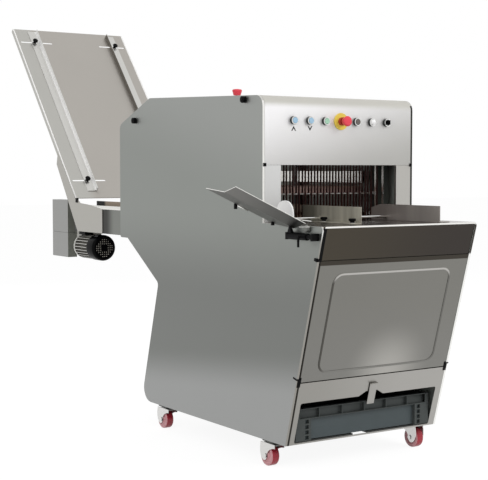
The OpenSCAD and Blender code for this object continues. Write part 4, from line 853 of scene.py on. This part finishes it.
def arrow(x, z, way):
    """A stroke like a roof that points up or down."""
    tip = SIGN_RISE / 2
    outline = [(-SIGN_HALF, -tip), (0, tip), (SIGN_HALF, -tip), (SIGN_HALF - SIGN_LINE, -tip),
               (0, tip - SIGN_LINE * SIGN_NOTCH_SHARE), (SIGN_LINE - SIGN_HALF, -tip)]
    return moved(plate([(x + px, z + way * pz) for px, pz in outline], SIGN_THICK),
                 Matrix.Translation((0, -SIGN_THICK * MM, 0)) @ FACE_FRONT)


signs = together([arrow(*UP_SIGN), arrow(*DOWN_SIGN)])
added("lift_signs", signs, "hood_cover", "black", "side_knobs")
seal = moved(slab(SEAL_LOW, SEAL_HIGH), FRONT)
added("apron_seal", seal, "apron", "black", "side_knobs", 1.0)
clip = [moved(slab(low, high), FRONT) for low, high in (CLIP_FACE, CLIP_SIDE)]
added("seal_clip", together(clip), "apron", "black", "side_knobs", 0.8)
buffers = [slab((x - BUFFER_HALF, *BUFFER_LOW), (x + BUFFER_HALF, *BUFFER_HIGH))
           for x in (-BUFFER_X, BUFFER_X)]
added("seam_buffers", together(buffers), "hood_cover", "black", "side_knobs", 1.0)
print("front fittings: 2 signs, a seal, a clip, 2 buffers")

# %% [markdown]
# ## Scoop and bracket
# The loaf scoop turns on a black bar. Its hub, its arm and the blocks of the bar are slimmer than the
# solids, so their points are drawn in: the hub towards the bar's axis, the arm towards its own middle.

# %% Scoop and bracket
BAR_X, BAR_Z, BAR_REAR = -0.358, 0.820, -0.175
HUB, SLIM_HUB, HUB_BACK = 0.015, 0.0118, 0.010
HUB_INSIDE_SHARE, HUB_OUTSIDE_SHARE = 0.8, 1.05
ARM_X, ARM_Y, ARM_SLIM_SHARE = -0.35925, -0.195, 0.40
ARM_HALF_X, ARM_HALF_Y, ARM_FOOT = 0.0092, 0.0102, 0.840
ARM_RISE_FRONT, ARM_RISE_REAR = 19 / 55, -11 / 120
SCOOP_SLOPE = math.tan(math.radians(24.3))
BLOCK_HALF, BLOCK_BACK, BLOCK_SLIM_SHARE = 0.012, 0.012, 0.8
BLACK_TOP, ARM_TOP, ARM_LEFT, ARM_RIGHT = 0.838, 0.858, -0.376, -0.3475
SCOOP_FRONT = -0.24


def slim_hub(spot):
    """Draws in the hub and the arm of the scoop."""
    away = Vector((spot.x - BAR_X, 0, spot.z - BAR_Z))
    if abs(spot.y - ARM_Y) < ARM_HALF_Y and abs(spot.x - ARM_X) < ARM_HALF_X and spot.z > ARM_FOOT:
        x = ARM_X + (spot.x - ARM_X) * ARM_SLIM_SHARE
        y = ARM_Y + (spot.y - ARM_Y) * ARM_SLIM_SHARE
        rise = ARM_RISE_FRONT if spot.y < ARM_Y else ARM_RISE_REAR
        return Vector((x, y, spot.z + (spot.x - x) * SCOOP_SLOPE + (spot.y - y) * rise))
    if HUB * HUB_INSIDE_SHARE < away.length < HUB * HUB_OUTSIDE_SHARE:
        spot = spot - away * (1 - SLIM_HUB / HUB)
    if away.length < HUB * HUB_OUTSIDE_SHARE and spot.y > BAR_REAR - MM:
        spot = spot - Vector((0, HUB_BACK, 0))
    return spot


def slim_block(spot):
    """Draws in the two blocks that hold the bar, the rear one towards the hub."""
    z = BAR_Z + (spot.z - BAR_Z) * (BLOCK_SLIM_SHARE if abs(spot.z - BAR_Z) > BLOCK_HALF else 1)
    return Vector((spot.x, spot.y - (BLOCK_BACK if spot.y > BAR_REAR else 0), z))


def is_black(middle, way):
    """The hub and the arm."""
    return middle.z < BLACK_TOP or (ARM_LEFT < middle.x < ARM_RIGHT and middle.z < ARM_TOP)


# The scoop's left and front edges take the near-white painted highlight.
dress("scoop", 0.5, "scoop", [
    ("black", is_black),
    ("lip", lambda middle, way: way.x < -0.7 or (way.y < -0.7 and middle.y < SCOOP_FRONT))], reshape=slim_hub)
dress("scoop_bracket", 1.0, "black", reshape=slim_block)
print("scoop and bracket dressed")

# %% [markdown]
# ## Scoop fittings
# The scoop folds down against the panel, so two rubber feet sit at its rear edge, one with a steel pin. A
# hexagon boss on the panel carries the clamp, and two straight spring wires run forward above the bar.

# %% Scoop fittings
SCOOP_FEET = (((-503, -79, 908), (-494, -69, 927)), ((-370, -104, 851), (-360, -94, 863)))
PIN = [(0, 0), (2.2, 0), (2.6, 1.5), (2.6, 44), (1.6, 46), (0, 46)]
PIN_PLACE, PIN_TURN = (-0.492, -0.076, 0.9205), math.radians(114.3)
BOSS_REACH, BOSS_THICK, BOSS_PLACE = 12.5, 12, (-0.3525, -0.268, 0.846)
SPRING = 1.7
SPRING_ENDS = (((-352, -211, 875), (-352, -301, 872)), ((-354, -237, 851), (-354, -295, 853)))


def spring_wire(start, end, radius):
    """A straight round wire between two points in millimetres."""
    start, end = Vector(start), Vector(end)
    way = end - start
    return moved(lathe([(0, 0), (radius, 0), (radius, way.length), (0, way.length)], 12),
                 Matrix.Translation(start * MM) @ way.to_track_quat("Z", "Y").to_matrix().to_4x4())


feet = [slab(low, high) for low, high in SCOOP_FEET]
added("scoop_feet", together(feet), "scoop", "black", "side_knobs", 1.5)
lay = Matrix.Translation(PIN_PLACE) @ Matrix.Rotation(PIN_TURN, 4, "Y")
added("scoop_pin", moved(lathe(PIN, 16), lay), "scoop", "lip", "guide_rod")
turns = [math.radians(60 * side) for side in range(6)]
hexagon = plate([(BOSS_REACH * math.cos(turn), BOSS_REACH * math.sin(turn)) for turn in turns], BOSS_THICK)
boss = moved(hexagon, Matrix.Translation(BOSS_PLACE) @ ALONG_X)
added("clamp_boss", boss, "scoop_bracket", "boss", "guide_rod", 1.2)
springs = [spring_wire(start, end, SPRING) for start, end in SPRING_ENDS]
added("scoop_springs", together(springs), "scoop", "lip", "guide_rod")
print("scoop fittings: 2 feet, a pin, a boss and 2 springs")

# %% [markdown]
# ## Chute trim
# A near-white strip along both sides of the chute plate is a painted highlight of its rolled edge, and black
# caps close the ends of its lip. A corner plate fills the bend of each bracket, and a white strip at the left
# guide's fold is a painted highlight.

# %% Chute trim
EDGE_X, EDGE_HALF, EDGE_LENGTH, EDGE_UNDER, EDGE_TOP = 302.4, 3.4, 1098, -0.4, 0.2
CAP_X, CAP_HALF, CAP_LOW, CAP_HIGH = 308, 4, (1549, 890), (1568, 911)
CORNER = [(1306, 866), (1423, 882), (1547, 890), (1556, 890), (1540, 860), (1306, 856)]
CORNER_THICK, CORNER_PLACES = 3.2, (-309.2, 306)
FOLD_LOW, FOLD_HIGH = (-194.5, 42, 3.1), (-188.1, 1083, 4.2)

# The edge strips are painted highlights along the rolled edges.
edges = [moved(slab((x - EDGE_HALF, 0, EDGE_UNDER), (x + EDGE_HALF, EDGE_LENGTH, EDGE_TOP)), CHUTE)
         for x in (-EDGE_X, EDGE_X)]
added("chute_edge_highlights", together(edges), "chute_plate", "upright", "chute_plate", 0.4)
caps = [slab((x - CAP_HALF, *CAP_LOW), (x + CAP_HALF, *CAP_HIGH)) for x in (-CAP_X, CAP_X)]
added("chute_caps", together(caps), "chute_plate", "black", "side_knobs", 1.0)
corners = [standing(plate(CORNER, CORNER_THICK), x) for x in CORNER_PLACES]
added("bracket_corners", together(corners), "chute_brackets", "bracket", "chute_brackets", 0.4)
# The fold strip is a painted highlight.
fold = moved(slab(FOLD_LOW, FOLD_HIGH), CHUTE)
added("chute_guide_fold_highlight", fold, "left_chute_guide", "flash", "left_chute_guide")
print("chute trim: 2 edges, 2 caps, 2 corners, a fold")

# %% [markdown]
# ## Studio
# The photograph has a white ground. The world and the floor are white to the camera and to reflections, and
# they light the object at a plain level. The floor keeps a soft shadow.

# %% World, floor and lamps
GROUND_SHARE = 0.85
GROUND_GLOW = 1.08
GROUND_REACH = 30
GROUND_COLOUR = (0.92, 0.92, 0.92, 1.0)
SKY_LIGHT, SKY_SEEN = 0.5, 1.0


def background_rays(tree):
    """1 for rays that show the background: from the camera, or by a mirror or a glass."""
    rays = tree.nodes.new("ShaderNodeLightPath")
    found = rays.outputs["Is Camera Ray"]
    for name in ("Is Glossy Ray", "Is Transmission Ray"):
        either = tree.nodes.new("ShaderNodeMath")
        either.operation = "MAXIMUM"
        tree.links.new(found, either.inputs[0])
        tree.links.new(rays.outputs[name], either.inputs[1])
        found = either.outputs[0]
    return found


def ranged(tree, socket, low, high):
    """Maps 0 and 1 to two values."""
    level = tree.nodes.new("ShaderNodeMapRange")
    level.inputs["To Min"].default_value = low
    level.inputs["To Max"].default_value = high
    tree.links.new(socket, level.inputs["Value"])
    return level.outputs["Result"]


world = bpy.data.worlds.new("studio")
bpy.context.scene.world = world
world.use_nodes = True
sky = world.node_tree
sky.nodes["Background"].inputs["Color"].default_value = (1.0, 1.0, 1.0, 1.0)
strength = ranged(sky, background_rays(sky), SKY_LIGHT, SKY_SEEN)
sky.links.new(strength, sky.nodes["Background"].inputs["Strength"])

ground = bmesh.new()
bmesh.ops.create_grid(ground, x_segments=1, y_segments=1, size=GROUND_REACH)
ground_mesh = bpy.data.meshes.new("floor")
ground.to_mesh(ground_mesh)
ground.free()
floor = bpy.data.objects.new("floor", ground_mesh)
bpy.context.scene.collection.objects.link(floor)
pale = bpy.data.materials.new("pale_floor")
pale.use_nodes = True
tree = pale.node_tree
tree.nodes.clear()
out = tree.nodes.new("ShaderNodeOutputMaterial")
matt = tree.nodes.new("ShaderNodeBsdfDiffuse")
matt.inputs["Color"].default_value = GROUND_COLOUR
glow = tree.nodes.new("ShaderNodeEmission")
glow.inputs["Strength"].default_value = GROUND_GLOW
mix = tree.nodes.new("ShaderNodeMixShader")
tree.links.new(ranged(tree, background_rays(tree), 0.0, GROUND_SHARE), mix.inputs[0])
tree.links.new(matt.outputs[0], mix.inputs[1])
tree.links.new(glow.outputs[0], mix.inputs[2])
tree.links.new(mix.outputs[0], out.inputs["Surface"])
ground_mesh.materials.append(pale)


def lamp(name, place, target, size, power):
    """A square soft lamp that looks at a target and isn't mirrored."""
    light = bpy.data.lights.new(name, "AREA")
    light.shape = "SQUARE"
    light.size = size
    light.energy = power
    item = bpy.data.objects.new(name, light)
    item.location = place
    item.rotation_euler = (Vector(target) - Vector(place)).to_track_quat("-Z", "Y").to_euler()
    item.visible_glossy = False
    bpy.context.scene.collection.objects.link(item)


lamp("key", (2.6, -4.2, 3.6), (0, 0, 0.7), 2.5, 130)
lamp("fill", (-4.0, -2.0, 3.0), (0, 0.4, 0.7), 3.0, 80)
lamp("back", (1.0, 5.0, 3.5), (0, 0.8, 0.8), 3.0, 90)
print("studio ready")
